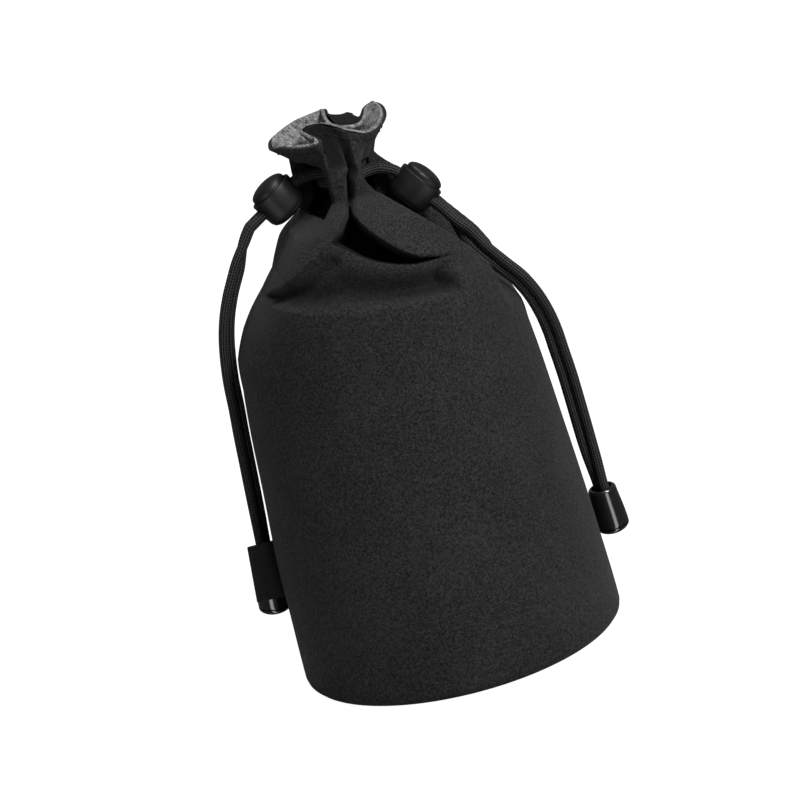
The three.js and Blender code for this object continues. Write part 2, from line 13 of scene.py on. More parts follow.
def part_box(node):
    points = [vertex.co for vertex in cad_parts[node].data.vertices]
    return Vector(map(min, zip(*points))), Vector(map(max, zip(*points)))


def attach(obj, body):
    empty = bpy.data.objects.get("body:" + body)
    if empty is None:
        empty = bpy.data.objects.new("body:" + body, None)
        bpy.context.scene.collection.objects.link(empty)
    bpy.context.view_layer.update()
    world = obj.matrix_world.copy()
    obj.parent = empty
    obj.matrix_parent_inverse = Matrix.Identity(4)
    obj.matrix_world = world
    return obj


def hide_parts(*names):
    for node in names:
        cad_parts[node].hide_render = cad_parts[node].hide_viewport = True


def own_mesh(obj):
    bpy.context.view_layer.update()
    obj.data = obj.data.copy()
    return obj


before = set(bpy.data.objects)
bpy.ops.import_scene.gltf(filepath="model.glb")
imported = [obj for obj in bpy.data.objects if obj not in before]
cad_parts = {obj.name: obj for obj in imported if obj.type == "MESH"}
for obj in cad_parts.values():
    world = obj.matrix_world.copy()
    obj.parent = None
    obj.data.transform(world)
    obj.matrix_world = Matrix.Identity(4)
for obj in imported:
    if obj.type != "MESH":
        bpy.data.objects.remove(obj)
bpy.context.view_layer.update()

# Photograph
IMAGE_SIZE = 800
FOCAL_PIXELS = 3103
SENSOR = 36
CAMERA_DISTANCE = 1.1
CAMERA_ELEVATION = 14.8
CAMERA_ROLL = 14.6  # the pouch leans to the left in the picture
CAMERA_AIM = (-0.0004, 0, 0.0931)

# Pouch wall
BASE_RADIUS = 0.0585
BASE_EDGE = 0.003
BODY_HEIGHT = 0.112
BODY_TOP_RADIUS = 0.0518
BODY_TAPER = 1.6
BODY_LEAN = -0.001
SHELL_THICKNESS = 0.0009
FOAM_THICKNESS = 0.0022
PLUSH_THICKNESS = 0.0013
LAYER_GAP = 0.0003
FOAM_TOP = 0.11

# Shoulder and neck
NECK_LOW = 0.171
NECK_HIGH = 0.181
SHOULDER_POWER = 5
SHOULDER_POWER_AT_SIDES = 2.2
SHOULDER_POWER_AT_BACK = 5
# The left side slopes in more than the right: how much, at a height
LEFT_SLOPE = [
    (0.122, 0), (0.132, 0.002), (0.138, 0.0037), (0.144, 0.0058), (0.152, 0.007), (0.158, 0.0062),
    (0.165, 0.0046), (0.172, 0.0018), (0.177, 0),
]
FOLD_RADIUS_AT_NECK = 0.0185
VALLEY_RADIUS_AT_NECK = 0.0106
THROAT_RADIUS = 0.0053
# Folds, in degrees from the front at a height. The two front ones press together at the neck
LEFT_FRONT_FOLD = [(0.15, -32), (0.155, -29), (0.16, -22), (0.165, -16), (0.17, -13)]
RIGHT_FRONT_FOLD = [
    (0.139, 58.9), (0.1467, 51.4), (0.1529, 44.9), (0.161, 37.7), (0.1657, 34.1), (0.1699, 31),
    (0.1726, 25), (0.1745, 17),
]
RIGHT_BACK_FOLD = [(0.144, 110), (0.155, 118), (0.17, 118)]
LEFT_BACK_FOLD = [(0.15, 212), (0.168, 248)]
# The right back fold makes the outline on its side, so it has a radius of its own at a height
RIGHT_BACK_RADIUS = [
    (0.12, 0.0514), (0.126, 0.0509), (0.132, 0.05), (0.1376, 0.0484), (0.145, 0.0442), (0.155, 0.0378),
    (0.1655, 0.0298), (0.181, 0.0132),
]
# A valley's direction, how far below the neck it starts and has its full depth, the power it deepens by
VALLEYS = {
    "left": (-90, 0.008, 0, 1),
    "right": (80, 0.054, 0.008, 1.4),
    "back": (169, 0.036, 0.009, 1.2),
}
# The openings at the sides that the cords come out of, from behind the front folds to these angles
EXIT_BEHIND_FOLD = {"left": 11, "right": 24}  # degrees
EXIT_BACK = {"left": -104, "right": 99}
EXIT_LOW = 0.1675
EXIT_HIGH = [(-104, 0.1885), (-60, 0.1875), (-34, 0.183), (-18, 0.1815), (99, 0.1815)]

# Folds of the front, as lines in the front view (x, z)
POCKET_FLOOR = [
    (-0.0008, 0.1691), (-0.0033, 0.167), (-0.0062, 0.1644), (-0.0103, 0.1616), (-0.0053, 0.1588),
    (-0.0007, 0.1556), (0.0041, 0.1531), (0.0104, 0.1507), (0.0163, 0.149), (0.0227, 0.1484),
    (0.0284, 0.1476), (0.0326, 0.1462),
]
POCKET_LIP = [
    (-0.0008, 0.1691), (0.0004, 0.1674), (0.0022, 0.1647), (0.0042, 0.1624), (0.0074, 0.1593),
    (0.0107, 0.1563), (0.0147, 0.1533), (0.0183, 0.151), (0.0237, 0.1495), (0.0284, 0.1484),
    (0.0326, 0.1462),
]
LEFT_RIDGE = [(-0.0091, 0.1619), (-0.0148, 0.1592), (-0.0221, 0.1552), (-0.0285, 0.1508), (-0.0365, 0.1447)]
SOFT_RIDGE = [
    (-0.0365, 0.1447), (-0.0297, 0.1435), (-0.0219, 0.141), (-0.0136, 0.1399), (-0.0026, 0.1385),
    (0.0075, 0.1375), (0.0214, 0.136), (0.0312, 0.135),
]
RIGHT_CORNER = [(0.032, 0.146), (0.0296, 0.1423), (0.0312, 0.135)]
SHORT_CREASE = [(-0.0118, 0.1552), (-0.0179, 0.1519), (-0.0241, 0.1479), (-0.0285, 0.1458)]
FRONT_SLIT = [(-0.0005, 0.1687), (0.0004, 0.171), (0.0021, 0.1777), (0.005, 0.1823)]
POCKET_DEPTH = 0.022
POCKET_HEADING = (0, 0.967, -0.255)
LEDGE_DEPTH = 0.0065
LEDGE_SHARE = 0.32  # of the way from the soft ridge up to the pocket
RIDGE_DEPTH = 0.0024
CREASE_DEPTH = 0.0011
SLIT_DEPTH = 0.008
RIPPLE_DEPTH = 0.0005  # slow unevenness of the whole wall

# The rim of the open ruffle: angle at the neck below it, then its place
RIM = [
    (-178, 0.0055, -0.005, 0.194), (-168, 0.002, -0.003, 0.1953), (-160, 0.0007, 0.0025, 0.197),
    (-152, 0.0003, 0.009, 0.199), (-143, -0.0027, 0.0105, 0.1986), (-131, -0.0075, 0.0105, 0.198),
    (-118, -0.0128, 0.008, 0.1975), (-106, -0.0187, 0.0042, 0.1958), (-97, -0.022, 0.0005, 0.1942),
    (-87, -0.0222, -0.0035, 0.1919),
    (-74, -0.0189, -0.007, 0.1921), (-56, -0.0146, -0.012, 0.1915), (-40, -0.0105, -0.0165, 0.1916),
    (-27, -0.0068, -0.0195, 0.192), (-18, -0.0041, -0.0185, 0.1928), (-12, -0.0047, -0.014, 0.1937),
    (-7, -0.0068, -0.0095, 0.1947), (-3, -0.0086, -0.005, 0.1959), (0, -0.0073, -0.0035, 0.1965),
    (4, -0.0035, -0.004, 0.1963), (9, 0.0003, -0.0075, 0.195), (15, 0.004, -0.011, 0.1933),
    (24, 0.0087, -0.0125, 0.1915), (38, 0.0131, -0.0105, 0.1902), (58, 0.017, -0.0055, 0.1905),
    (84, 0.0199, 0.0005, 0.1927), (108, 0.02, 0.006, 0.1952), (126, 0.0179, 0.0095, 0.1968),
    (139, 0.0148, 0.01, 0.197), (150, 0.0122, 0.007, 0.196), (158, 0.011, 0.0015, 0.1945),
    (168, 0.009, -0.0035, 0.1935),
]
RIM_FLARE = 1.15
# The middle of the back flops forward: the angles it does so between, and how far it stands back and up
FLOP_ANGLES = (14, 30)
FLOP = (0, 0.0065, 0.0078)
STITCH_BELOW_RIM = 0.2  # share of the ruffle's height
STITCH_LENGTH = 0.0021
STITCH_PITCH = 0.003
STITCH_HALF_DEPTH = 0.00024
STITCH_HALF_WIDTH = 0.00026
STITCH_PROUD = 0.00012

# Side tab
TAB_MARGIN = 0.0006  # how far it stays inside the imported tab, in width and height
TAB_FOLD_MARGIN = 0.0004  # and in thickness, on each side
TAB_TAPE = 0.0008
TAB_SWING = 0.0018  # its lower corner hangs out this much
TAB_SEAM_SHADE = (-0.0612, -0.0586)  # painted shade: it darkens between these x, towards the seam

# Cords, from the seam through the lock and down to the cord end
CORD_DIAMETER = 0.0034
CORD_GAP = 0.0003
CORD_BEND = 0.0068
CORD_LEAD = 0.0006
LOOP_RADIUS = 0.0074
LOCK_RADIUS = 0.0083
LOCK_TRAVEL = 0.005
NECK_MIDDLE = 0.176
CORD_STEP = 0.0004
# The loop's level in the tunnel counts cords. A lock leans and turns in degrees, and its middle lies away
# from the seam's opening, forward and down.
# Where the pair hangs, beside is how far sideways the front cord lies for each step forward, at the top
# and at the bottom, and fall is the way of the pair's middle.
SIDES = {
    "left": {
        "outward": -1, "level": 1, "lean": 30, "turn": 8, "away": 0.0119, "forward": 0.001, "drop": 0.0016,
        "beside": (0.75, 0.5),
        "fall": [
            (-0.0402, -0.0032, 0.1612), (-0.0444, -0.0032, 0.1534), (-0.0484, -0.0026, 0.146),
            (-0.0516, -0.0014, 0.1384), (-0.0538, 0.0002, 0.131), (-0.0554, 0.002, 0.123),
            (-0.0566, 0.004, 0.114), (-0.0573, 0.0058, 0.104), (-0.0582, 0.0076, 0.094),
            (-0.059, 0.0094, 0.083), (-0.0598, 0.011, 0.072), (-0.0606, 0.0124, 0.061),
            (-0.0615, 0.0136, 0.0495), (-0.0624, 0.0145, 0.0375),
        ],
    },
    "right": {
        "outward": 1, "level": 0, "lean": 52, "turn": 12, "away": 0.0117, "forward": 0.0019, "drop": 0.0096,
        "beside": (2.6, 0.6),
        "fall": [
            (0.0362, -0.0065, 0.148), (0.0402, -0.0075, 0.141), (0.0454, -0.008, 0.134),
            (0.0506, -0.007, 0.127), (0.054, -0.005, 0.12), (0.0564, -0.002, 0.1124),
            (0.058, 0.001, 0.104), (0.0588, 0.0036, 0.0956), (0.0597, 0.0062, 0.086),
            (0.0603, 0.0086, 0.076), (0.0608, 0.0108, 0.066), (0.0613, 0.0126, 0.056),
            (0.062, 0.014, 0.0455), (0.0627, 0.0151, 0.0346),
        ],
    },
}
BRAID_STRANDS = 12
BRAID_PITCH = 0.0022
BRAID_DEPTH = 0.00004
CORD_SWELL = 0.00014  # the loose outer yarns, which close the gap to the next cord


def mix(a, b, share):
    return a + (b - a) * share


def ease(x, low, high):
    share = np.clip((x - low) / (high - low), 0, 1)
    return share * share * (3 - 2 * share)


# Camera


def place_camera():
    camera = bpy.data.objects.new("camera", bpy.data.cameras.new("camera"))
    bpy.context.scene.collection.objects.link(camera)
    tilt = math.radians(CAMERA_ELEVATION)
    roll = math.radians(CAMERA_ROLL)
    ahead = Vector((0, math.cos(tilt), -math.sin(tilt)))
    right = Vector((1, 0, 0))
    up = Vector((0, math.sin(tilt), math.cos(tilt)))
    rolled_up = up * math.cos(roll) + right * math.sin(roll)
    rolled_right = right * math.cos(roll) - up * math.sin(roll)
    turn = Matrix((rolled_right, rolled_up, -ahead)).transposed().to_4x4()
    camera.matrix_world = Matrix.Translation(Vector(CAMERA_AIM) - ahead * CAMERA_DISTANCE) @ turn
    camera.data.sensor_width = SENSOR
    camera.data.lens = SENSOR * FOCAL_PIXELS / IMAGE_SIZE
    bpy.context.scene.camera = camera


# Mesh helpers


WELD_DISTANCE = 1e-6


def deselect():
    if bpy.context.object and bpy.context.object.mode != "OBJECT":
        bpy.ops.object.mode_set(mode="OBJECT")
    bpy.ops.object.select_all(action="DESELECT")


def points_of(piece):
    points = np.empty(len(piece.data.vertices) * 3)
    piece.data.vertices.foreach_get("co", points)
    return points.reshape(-1, 3)


def set_points(piece, points):
    piece.data.vertices.foreach_set("co", np.ascontiguousarray(points).ravel())
    piece.data.update()


def edit(piece):
    """Selects only this piece, whole, in edit mode."""
    deselect()
    bpy.context.view_layer.objects.active = piece
    piece.select_set(True)
    bpy.ops.object.mode_set(mode="EDIT")
    bpy.ops.mesh.select_mode(type="VERT")
    bpy.ops.mesh.select_all(action="SELECT")


def done(smooth_angle=None):
    """Leaves edit mode and shades the piece smooth, up to an angle if one is given."""
    bpy.ops.object.mode_set(mode="OBJECT")
    if smooth_angle is None:
        bpy.ops.object.shade_smooth()
    else:
        bpy.ops.object.shade_smooth_by_angle(angle=math.radians(smooth_angle))


def lofted(name, across, along, place, weld=True):
    """A fine grid bent into shape. place gives the points for shares across and along the grid."""
    deselect()
    bpy.ops.mesh.primitive_grid_add(x_subdivisions=across, y_subdivisions=along, size=2)
    piece = bpy.context.object
    piece.name = name
    flat = points_of(piece)
    set_points(piece, place((flat[:, 0] + 1) / 2, (flat[:, 1] + 1) / 2))
    edit(piece)
    if weld:
        bpy.ops.mesh.remove_doubles(threshold=WELD_DISTANCE)
    done()
    return piece


def spun(name, outline, steps=72, smooth_angle=40):
    """A turned solid from (radius, height) points that start and end on the axis."""
    deselect()
    bpy.ops.mesh.primitive_circle_add(vertices=len(outline), radius=0.01)
    piece = bpy.context.object
    piece.name = name
    set_points(piece, np.array([(r, 0, z) for r, z in outline]))
    edit(piece)
    bpy.ops.mesh.select_all(action="DESELECT")
    bpy.ops.object.mode_set(mode="OBJECT")
    if outline[0][0] == 0:
        for vertex in piece.data.vertices:
            vertex.select = vertex.co.x == 0
        for edge in piece.data.edges:
            edge.select = all(piece.data.vertices[i].co.x == 0 for i in edge.vertices)
        bpy.ops.object.mode_set(mode="EDIT")
        bpy.ops.mesh.select_mode(type="EDGE")
        bpy.ops.mesh.delete(type="EDGE")
    else:
        bpy.ops.object.mode_set(mode="EDIT")
    bpy.ops.mesh.select_mode(type="VERT")
    bpy.ops.mesh.select_all(action="SELECT")
    bpy.ops.mesh.spin(steps=steps, angle=2 * math.pi, center=(0, 0, 0), axis=(0, 0, 1))
    bpy.ops.mesh.select_all(action="SELECT")
    bpy.ops.mesh.remove_doubles(threshold=WELD_DISTANCE)
    bpy.ops.mesh.normals_make_consistent(inside=False)
    done(smooth_angle)
    return piece


def apply_modifier(piece, kind, **settings):
    deselect()
    bpy.context.view_layer.objects.active = piece
    piece.select_set(True)
    modifier = piece.modifiers.new(kind.lower(), kind)
    for key, value in settings.items():
        setattr(modifier, key, value)
    bpy.ops.object.modifier_apply(modifier=modifier.name)


def thicken(piece, thickness, inner_material=0):
    """Gives a sheet its thickness inwards, the inner side and the cut edge in another material."""
    apply_modifier(
        piece, "SOLIDIFY", thickness=thickness, offset=-1, use_rim=True,
        material_offset=inner_material, material_offset_rim=inner_material,
    )


def arc(centre_r, centre_z, radius, start, end, steps):
    angles = np.radians(np.linspace(start, end, steps + 1))
    return [(centre_r + radius * math.cos(a), centre_z + radius * math.sin(a)) for a in angles]


def cut_away(piece, cutter):
    apply_modifier(piece, "BOOLEAN", operation="DIFFERENCE", solver="EXACT", object=cutter)
    bpy.data.objects.remove(cutter)


def join(name, pieces):
    deselect()
    for piece in pieces:
        piece.select_set(True)
    bpy.context.view_layer.objects.active = pieces[0]
    bpy.ops.object.join()
    pieces[0].name = name
    return pieces[0]


def fit(piece, body, slot, *nodes):
    """Puts a finished piece on its body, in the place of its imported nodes."""
    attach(piece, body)
    if nodes:
        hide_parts(*nodes)
    return piece


# Materials


class Term:
    """A value that changes over a surface. Arithmetic on it adds Math nodes."""

    def __init__(self, finish, socket):
        self.finish = finish
        self.socket = socket

    def math(self, operation, *others):
        values = {i: other for i, other in enumerate((self, *others))}
        return self.finish.node("ShaderNodeMath", {"operation": operation}, values)

    def __add__(self, other):
        return self.math("ADD", other)

    def __sub__(self, other):
        return self.math("SUBTRACT", other)

    def __rsub__(self, other):
        return (self * -1) + other

    def __mul__(self, other):
        return self.math("MULTIPLY", other)

    __radd__ = __add__
    __rmul__ = __mul__


class Finish:
    """One material, built round its Principled shader."""

    def __init__(self, name, color, roughness, **constants):
        self.material = bpy.data.materials.new(name)
        self.material.use_nodes = True
        self.tree = self.material.node_tree
        self.shader = next(n for n in self.tree.nodes if n.type == "BSDF_PRINCIPLED")
        self.set("Base Color", (*color, 1))
        self.set("Roughness", roughness)
        for key, value in constants.items():
            self.set(key.replace("_", " ").title(), value)
        self.material.diffuse_color = (*color, 1)

    def put(self, socket, value):
        if isinstance(value, Term):
            self.tree.links.new(value.socket, socket)
        else:
            socket.default_value = value

    def set(self, name, value):
        self.put(self.shader.inputs[name], value)

    def node(self, kind, settings=None, inputs=None, output=0):
        node = self.tree.nodes.new(kind)
        for key, value in (settings or {}).items():
            setattr(node, key, value)
        for key, value in (inputs or {}).items():
            self.put(node.inputs[key], value)
        return Term(self, node.outputs[output])

    def place(self):
        return self.node("ShaderNodeTexCoord", output="Object")

    def noise(self, where, scale, detail=2, roughness=0.5):
        values = {"Vector": where, "Scale": scale, "Detail": detail, "Roughness": roughness}
        return self.node("ShaderNodeTexNoise", None, values)

    def between(self, value, low, high):
        """0 below low, 1 above high."""
        values = {"Value": value, "From Min": low, "From Max": high}
        return self.node("ShaderNodeMapRange", {"clamp": True}, values)

    def blend(self, share, first, second):
        colors = {0: share, 6: (*first, 1), 7: (*second, 1)}
        return self.node("ShaderNodeMix", {"data_type": "RGBA"}, colors, output=2)

    def bump(self, height, distance, strength=1):
        values = {"Height": height, "Distance": distance, "Strength": strength}
        self.set("Normal", self.node("ShaderNodeBump", None, values))


DEEP_SHADE = (0.0008, 0.0008, 0.0008, 1)


def in_shade(finish, share, color):
    """A colour that goes nearly black where little light reaches it."""
    values = {0: share, 6: color, 7: DEEP_SHADE}
    return finish.node("ShaderNodeMix", {"data_type": "RGBA"}, values, output=2)


def coordinates(finish, where):
    """The x, y and z of a place, each a value of its own."""
    parts = finish.tree.nodes.new("ShaderNodeSeparateXYZ")
    finish.put(parts.inputs[0], where)
    return [Term(finish, output) for output in parts.outputs]


def soft_shell():
    """Matt black soft-shell with a fine, slightly speckled grain, and shade painted into its folds."""
    finish = Finish("soft_shell", (0.014, 0.014, 0.0145), 0.9, sheen_weight=0.03, sheen_roughness=0.5)
    finish.set("Specular IOR Level", 0.12)
    where = finish.place()
    grain = finish.noise(where, 2300, 2, 0.8)
    thread = finish.noise(where, 1000, 2, 0.6)
    cloud = finish.noise(where, 30, 3, 0.6)
    speckle = finish.between(grain * 0.6 + thread * 0.3 + cloud * 0.1, 0.42, 0.64)
    # painted shade: the cloth's colour goes nearly black deep in folds, where little light reaches
    painted_shade = finish.node("ShaderNodeAttribute", {"attribute_name": "painted_shade_layer"}, output="Fac")
    cloth = finish.blend(speckle, (0.003, 0.003, 0.0031), (0.0282, 0.0282, 0.0288))
    finish.set("Base Color", in_shade(finish, painted_shade, cloth))
    finish.set("Roughness", 0.96 - 0.14 * speckle)
    finish.bump(grain * 0.6 + thread * 0.4, 0.0002)
    return finish.material


def shell_back():
    """The dull black back of the fabric, seen in the tunnel."""
    finish = Finish("shell_back", (0.004, 0.004, 0.004), 0.95)
    finish.set("Specular IOR Level", 0.1)
    knit = finish.noise(finish.place(), 900, 2)
    shade = finish.between(knit, 0.35, 0.65)
    finish.set("Base Color", finish.blend(shade, (0.003, 0.003, 0.003), (0.006, 0.006, 0.006)))
    finish.bump(knit, 0.0002)
    return finish.material


def plush():
    """Light grey short plush with clumped, shaded pile."""
    finish = Finish("plush", (0.36, 0.36, 0.365), 1, sheen_weight=0.05, sheen_roughness=0.6)
    finish.set("Specular IOR Level", 0.1)
    where = finish.place()
    pile = finish.noise(where, 1300, 3, 0.75)
    clump = finish.noise(where, 420, 3, 0.6)
    shade = finish.between(pile * 0.55 + clump * 0.45, 0.4, 0.62)
    finish.set("Base Color", finish.blend(shade, (0.034, 0.034, 0.0356), (0.26, 0.26, 0.264)))
    finish.bump(pile * 0.5 + clump * 0.8, 0.0012)
    return finish.material


def foam():
    finish = Finish("foam", (0.04, 0.04, 0.042), 0.95)
    cells = finish.node("ShaderNodeTexVoronoi", None, {"Vector": finish.place(), "Scale": 900})
    finish.set("Base Color", finish.blend(cells, (0.025, 0.025, 0.026), (0.06, 0.06, 0.062)))
    finish.bump(cells, 0.0003)
    return finish.material


def braid():
    """Braided cord: crossing strands on the cord's own map, round it and along it."""
    finish = Finish("braid", (0.012, 0.012, 0.0125), 0.75, sheen_weight=0.02)
    finish.set("Specular IOR Level", 0.2)
    round_it, along_it, _ = coordinates(finish, finish.node("ShaderNodeTexCoord", output="UV"))
    turn = round_it * (2 * math.pi * BRAID_STRANDS / 2)
    run = along_it * (2 * math.pi)
    relief = (turn + run).math("COSINE") * (turn - run).math("COSINE")
    raised = finish.between(relief * 0.55 + (turn * 2).math("COSINE") * 0.45, -0.7, 0.9)
    fibre = finish.noise(finish.place(), 2600, 2)
    # painted highlight on the raised strands, broken up by the fibre's grain
    painted_strand_highlight = raised * raised * (0.6 + 0.8 * fibre)
    finish.set("Base Color", finish.blend(painted_strand_highlight, (0.0012, 0.0012, 0.0013), (0.042, 0.042, 0.0432)))
    finish.set("Roughness", 0.9 - 0.25 * raised)
    finish.bump(relief * 0.5 + fibre * 0.3, 0.00016)
    return finish.material


def tape():
    """Plain woven tape with fine ribs along its height."""
    finish = Finish("tape", (0.009, 0.009, 0.0095), 0.85, sheen_weight=0.02)
    finish.set("Specular IOR Level", 0.15)
    ribs = finish.node(
        "ShaderNodeTexWave", {"wave_type": "BANDS", "bands_direction": "Z"},
        {"Vector": finish.place(), "Scale": 420, "Distortion": 0.6, "Detail": 1},
    )
    woven = finish.blend(ribs, (0.006, 0.006, 0.0063), (0.013, 0.013, 0.0135))
    # painted shade: the tape goes nearly black towards the seam, where the pouch shadows it
    x, _, _ = coordinates(finish, finish.place())
    finish.set("Base Color", in_shade(finish, finish.between(x, *TAB_SEAM_SHADE), woven))
    finish.bump(ribs, 0.00012)
    return finish.material


def thread():
    finish = Finish("thread", (0.008, 0.008, 0.0085), 0.8)
    finish.set("Specular IOR Level", 0.2)
    twist = finish.noise(finish.place(), 3000, 1)
    finish.set("Base Color", finish.blend(twist, (0.004, 0.004, 0.0042), (0.013, 0.013, 0.0135)))
    return finish.material


def satin_plastic():
    """Moulded satin black, with a fine spark-eroded grain and rubbed places."""
    finish = Finish("satin_plastic", (0.009, 0.009, 0.0093), 0.42)
    finish.set("Specular IOR Level", 0.24)
    where = finish.place()
    grain = finish.noise(where, 2600, 2)
    rubbed = finish.between(finish.noise(where, 190, 4, 0.65), 0.5, 0.75)
    finish.set("Base Color", finish.blend(rubbed, (0.005, 0.005, 0.0052), (0.009, 0.009, 0.0093)))
    finish.set("Roughness", 0.46 - 0.12 * rubbed)
    finish.bump(grain, 0.00004)
    return finish.material


def gloss_plastic():
    """Polished black plastic with faint handling marks."""
    finish = Finish("gloss_plastic", (0.004, 0.004, 0.0043), 0.16)
    finish.set("Specular IOR Level", 0.8)
    marks = finish.between(finish.noise(finish.place(), 420, 5, 0.7), 0.55, 0.8)
    finish.set("Base Color", finish.blend(marks, (0.005, 0.005, 0.0053), (0.009, 0.009, 0.0093)))
    finish.set("Roughness", 0.13 + 0.12 * marks)
    return finish.material


def spring_steel():
    finish = Finish("spring_steel", (0.55, 0.56, 0.57), 0.3, metallic=1)
    drawn = finish.noise(finish.place(), 1800, 2)
    finish.set("Roughness", 0.24 + 0.16 * drawn)
    return finish.material


# Pouch wall: its outer surface as a radius at an angle from the front and a height


def fold_radius(z, angle):
    """The wall along the tops of the folds."""
    share = np.clip(z, 0, BODY_HEIGHT) / BODY_HEIGHT
    body = BASE_RADIUS + (BODY_TOP_RADIUS - BASE_RADIUS) * share**BODY_TAPER
    rise = np.clip((z - BODY_HEIGHT) / (NECK_LOW - BODY_HEIGHT), 0, 1)
    power = mix(SHOULDER_POWER_AT_SIDES, SHOULDER_POWER, np.maximum(np.cos(angle), 0) ** 2)
    power = mix(power, SHOULDER_POWER_AT_BACK, ease(-np.cos(angle), 0.5, 0.85))
    sloped = fold_at(z, LEFT_SLOPE) * ease(-np.sin(angle), 0.55, 0.9)
    shoulder = mix(BODY_TOP_RADIUS, FOLD_RADIUS_AT_NECK, rise**power)
    return np.where(z <= BODY_HEIGHT, body, shoulder - sloped)


def flank(angle, z, valley, fold, width, fold_top=None):
    """The wall between the middle of a valley and the top of a fold beside it."""
    middle, start, full, power = VALLEYS[valley]
    depth = np.clip((start - (NECK_LOW - z)) / (start - full), 0, 1) ** power
    share = np.clip((np.degrees(angle) - middle) / (fold - middle), 0, 1)
    top = fold_radius(z, angle)
    if fold_top is not None:
        top = mix(top, fold_top, share**3)
    return mix(mix(top, VALLEY_RADIUS_AT_NECK, depth), top, np.sin(share * math.pi / 2) ** width)


def fold_at(z, table):
    """The value that a table gives at a height, or at whatever its first column holds."""
    places, values = zip(*table)
    return np.interp(z, places, values)


def smooth_radius(angle, z):
    """The wall with its four folds and the valleys between them, without the front's own creases."""
    near_neck = ease(z, 0.15, 0.17)
    left_front, right_front = fold_at(z, LEFT_FRONT_FOLD), fold_at(z, RIGHT_FRONT_FOLD)
    left_back, right_back = fold_at(z, LEFT_BACK_FOLD), fold_at(z, RIGHT_BACK_FOLD)
    right_top = fold_at(z, RIGHT_BACK_RADIUS)
    right_top = np.where(z < RIGHT_BACK_RADIUS[0][0], fold_radius(z, angle), right_top)
    narrow, thin = mix(6, 26, near_neck), mix(6, 14, near_neck)
    turn = np.degrees(angle)
    whole = angle + np.where(turn < left_back - 360, 2 * math.pi, 0)
    left, right, back = (VALLEYS[side][0] for side in ("left", "right", "back"))
    parts = [
        (np.degrees(whole) > back, flank(whole, z, "back", left_back, 2)),
        (turn > right_back, flank(whole, z, "back", right_back, 2, right_top)),
        (turn > right, flank(angle, z, "right", right_back, thin, right_top)),
        (turn > right_front, flank(angle, z, "right", right_front, mix(narrow, 6, 0.5))),
        (turn > left_front, fold_radius(z, angle)),
        (turn > left, flank(angle, z, "left", left_front, narrow)),
    ]
    last = flank(angle, z, "left", left_back - 360, thin)
    return np.select([part[0] for part in parts], [part[1] for part in parts], last)


def line_distance(x, z, line):
    """How far points of the front view lie from a line of straight stretches."""
    nearest = np.full(x.shape, np.inf)
    for (ax, az), (bx, bz) in zip(line, line[1:]):
        dx, dz = bx - ax, bz - az
        share = np.clip(((x - ax) * dx + (z - az) * dz) / (dx * dx + dz * dz), 0, 1)
        nearest = np.minimum(nearest, np.hypot(x - ax - share * dx, z - az - share * dz))
    return nearest


def inside(x, z, outline):
    within = np.zeros(x.shape, bool)
    for (ax, az), (bx, bz) in zip(outline, outline[1:] + outline[:1]):
        if az != bz:
            crosses = (az > z) != (bz > z)
            within ^= crosses & (x < (bx - ax) * (z - az) / (bz - az) + ax)
    return within


def pocket_depth(x, z):
    """The deep fold under the right front lobe."""
    pocket = POCKET_FLOOR + POCKET_LIP[-2:0:-1]
    edge = line_distance(x, z, pocket + pocket[:1])
    return POCKET_DEPTH * inside(x, z, pocket) * ease(edge, 0, 0.0016)


def crease_depth(x, z):
    """How far the front is pressed in by the ledge above the padding, a crease and the slit at the neck."""
    shelf = LEFT_RIDGE + SOFT_RIDGE[1:] + RIGHT_CORNER[-2::-1] + POCKET_FLOOR[-2:2:-1]
    above = line_distance(x, z, SOFT_RIDGE)
    below = line_distance(x, z, LEFT_RIDGE[::-1] + POCKET_FLOOR[3:])
    rise = above / (above + below + 1e-9)
    hollow = ease(rise, 0, LEDGE_SHARE) * (1 - 0.9 * ease(rise, LEDGE_SHARE, 1))
    hollow = hollow * ease(line_distance(x, z, RIGHT_CORNER), 0, 0.005) * ease(x, LEFT_RIDGE[-1][0], -0.024)
    depth = LEDGE_DEPTH * inside(x, z, shelf) * hollow
    for ridge, open_end in ((LEFT_RIDGE, LEFT_RIDGE[0]), (RIGHT_CORNER, RIGHT_CORNER[0])):
        beside = line_distance(x, z, ridge)
        groove = ease(beside, 0, 0.0014) * (1 - ease(beside, 0.0016, 0.009))
        groove = groove * ease(np.hypot(x - open_end[0], z - open_end[1]), 0.002, 0.009)
        depth = depth + RIDGE_DEPTH * inside(x, z, shelf) * groove
    depth = depth + CREASE_DEPTH * (1 - ease(line_distance(x, z, SHORT_CREASE), 0, 0.0034))
    return depth + SLIT_DEPTH * (1 - ease(line_distance(x, z, FRONT_SLIT), 0.0002, 0.002))


def on_front(angle, z, depth_of):
    """A depth drawn in the front view, on the part of the wall that it belongs to."""
    front = (np.degrees(angle) > -75) & (np.degrees(angle) < fold_at(z, RIGHT_FRONT_FOLD))
    return np.where(front, depth_of(smooth_radius(angle, z) * np.sin(angle), z), 0)


def ripple(angle, z):
    """Slow unevenness of a soft wall."""
    waves = [(3, 38, 0.4), (5, -61, 1.9), (7, 83, 3.1), (2, 120, 5.2), (11, 47, 0.9)]
    return sum(np.sin(k * angle + m * z + shift) for k, m, shift in waves) / len(waves)


def wall_radius(angle, z):
    soft = ease(z, 0.004, 0.03) * (1 - ease(z, 0.165, 0.171))
    return smooth_radius(angle, z) - on_front(angle, z, crease_depth) + RIPPLE_DEPTH * soft * ripple(angle, z)


def lean(z):
    """How far the middle of the body stands to the side."""
    return BODY_LEAN * ease(z, 0, 0.06) * (1 - ease(z, 0.12, 0.16))


def round_pouch(angle, radius, z):
    return np.stack([radius * np.sin(angle) + lean(z), -radius * np.cos(angle), z], axis=1)


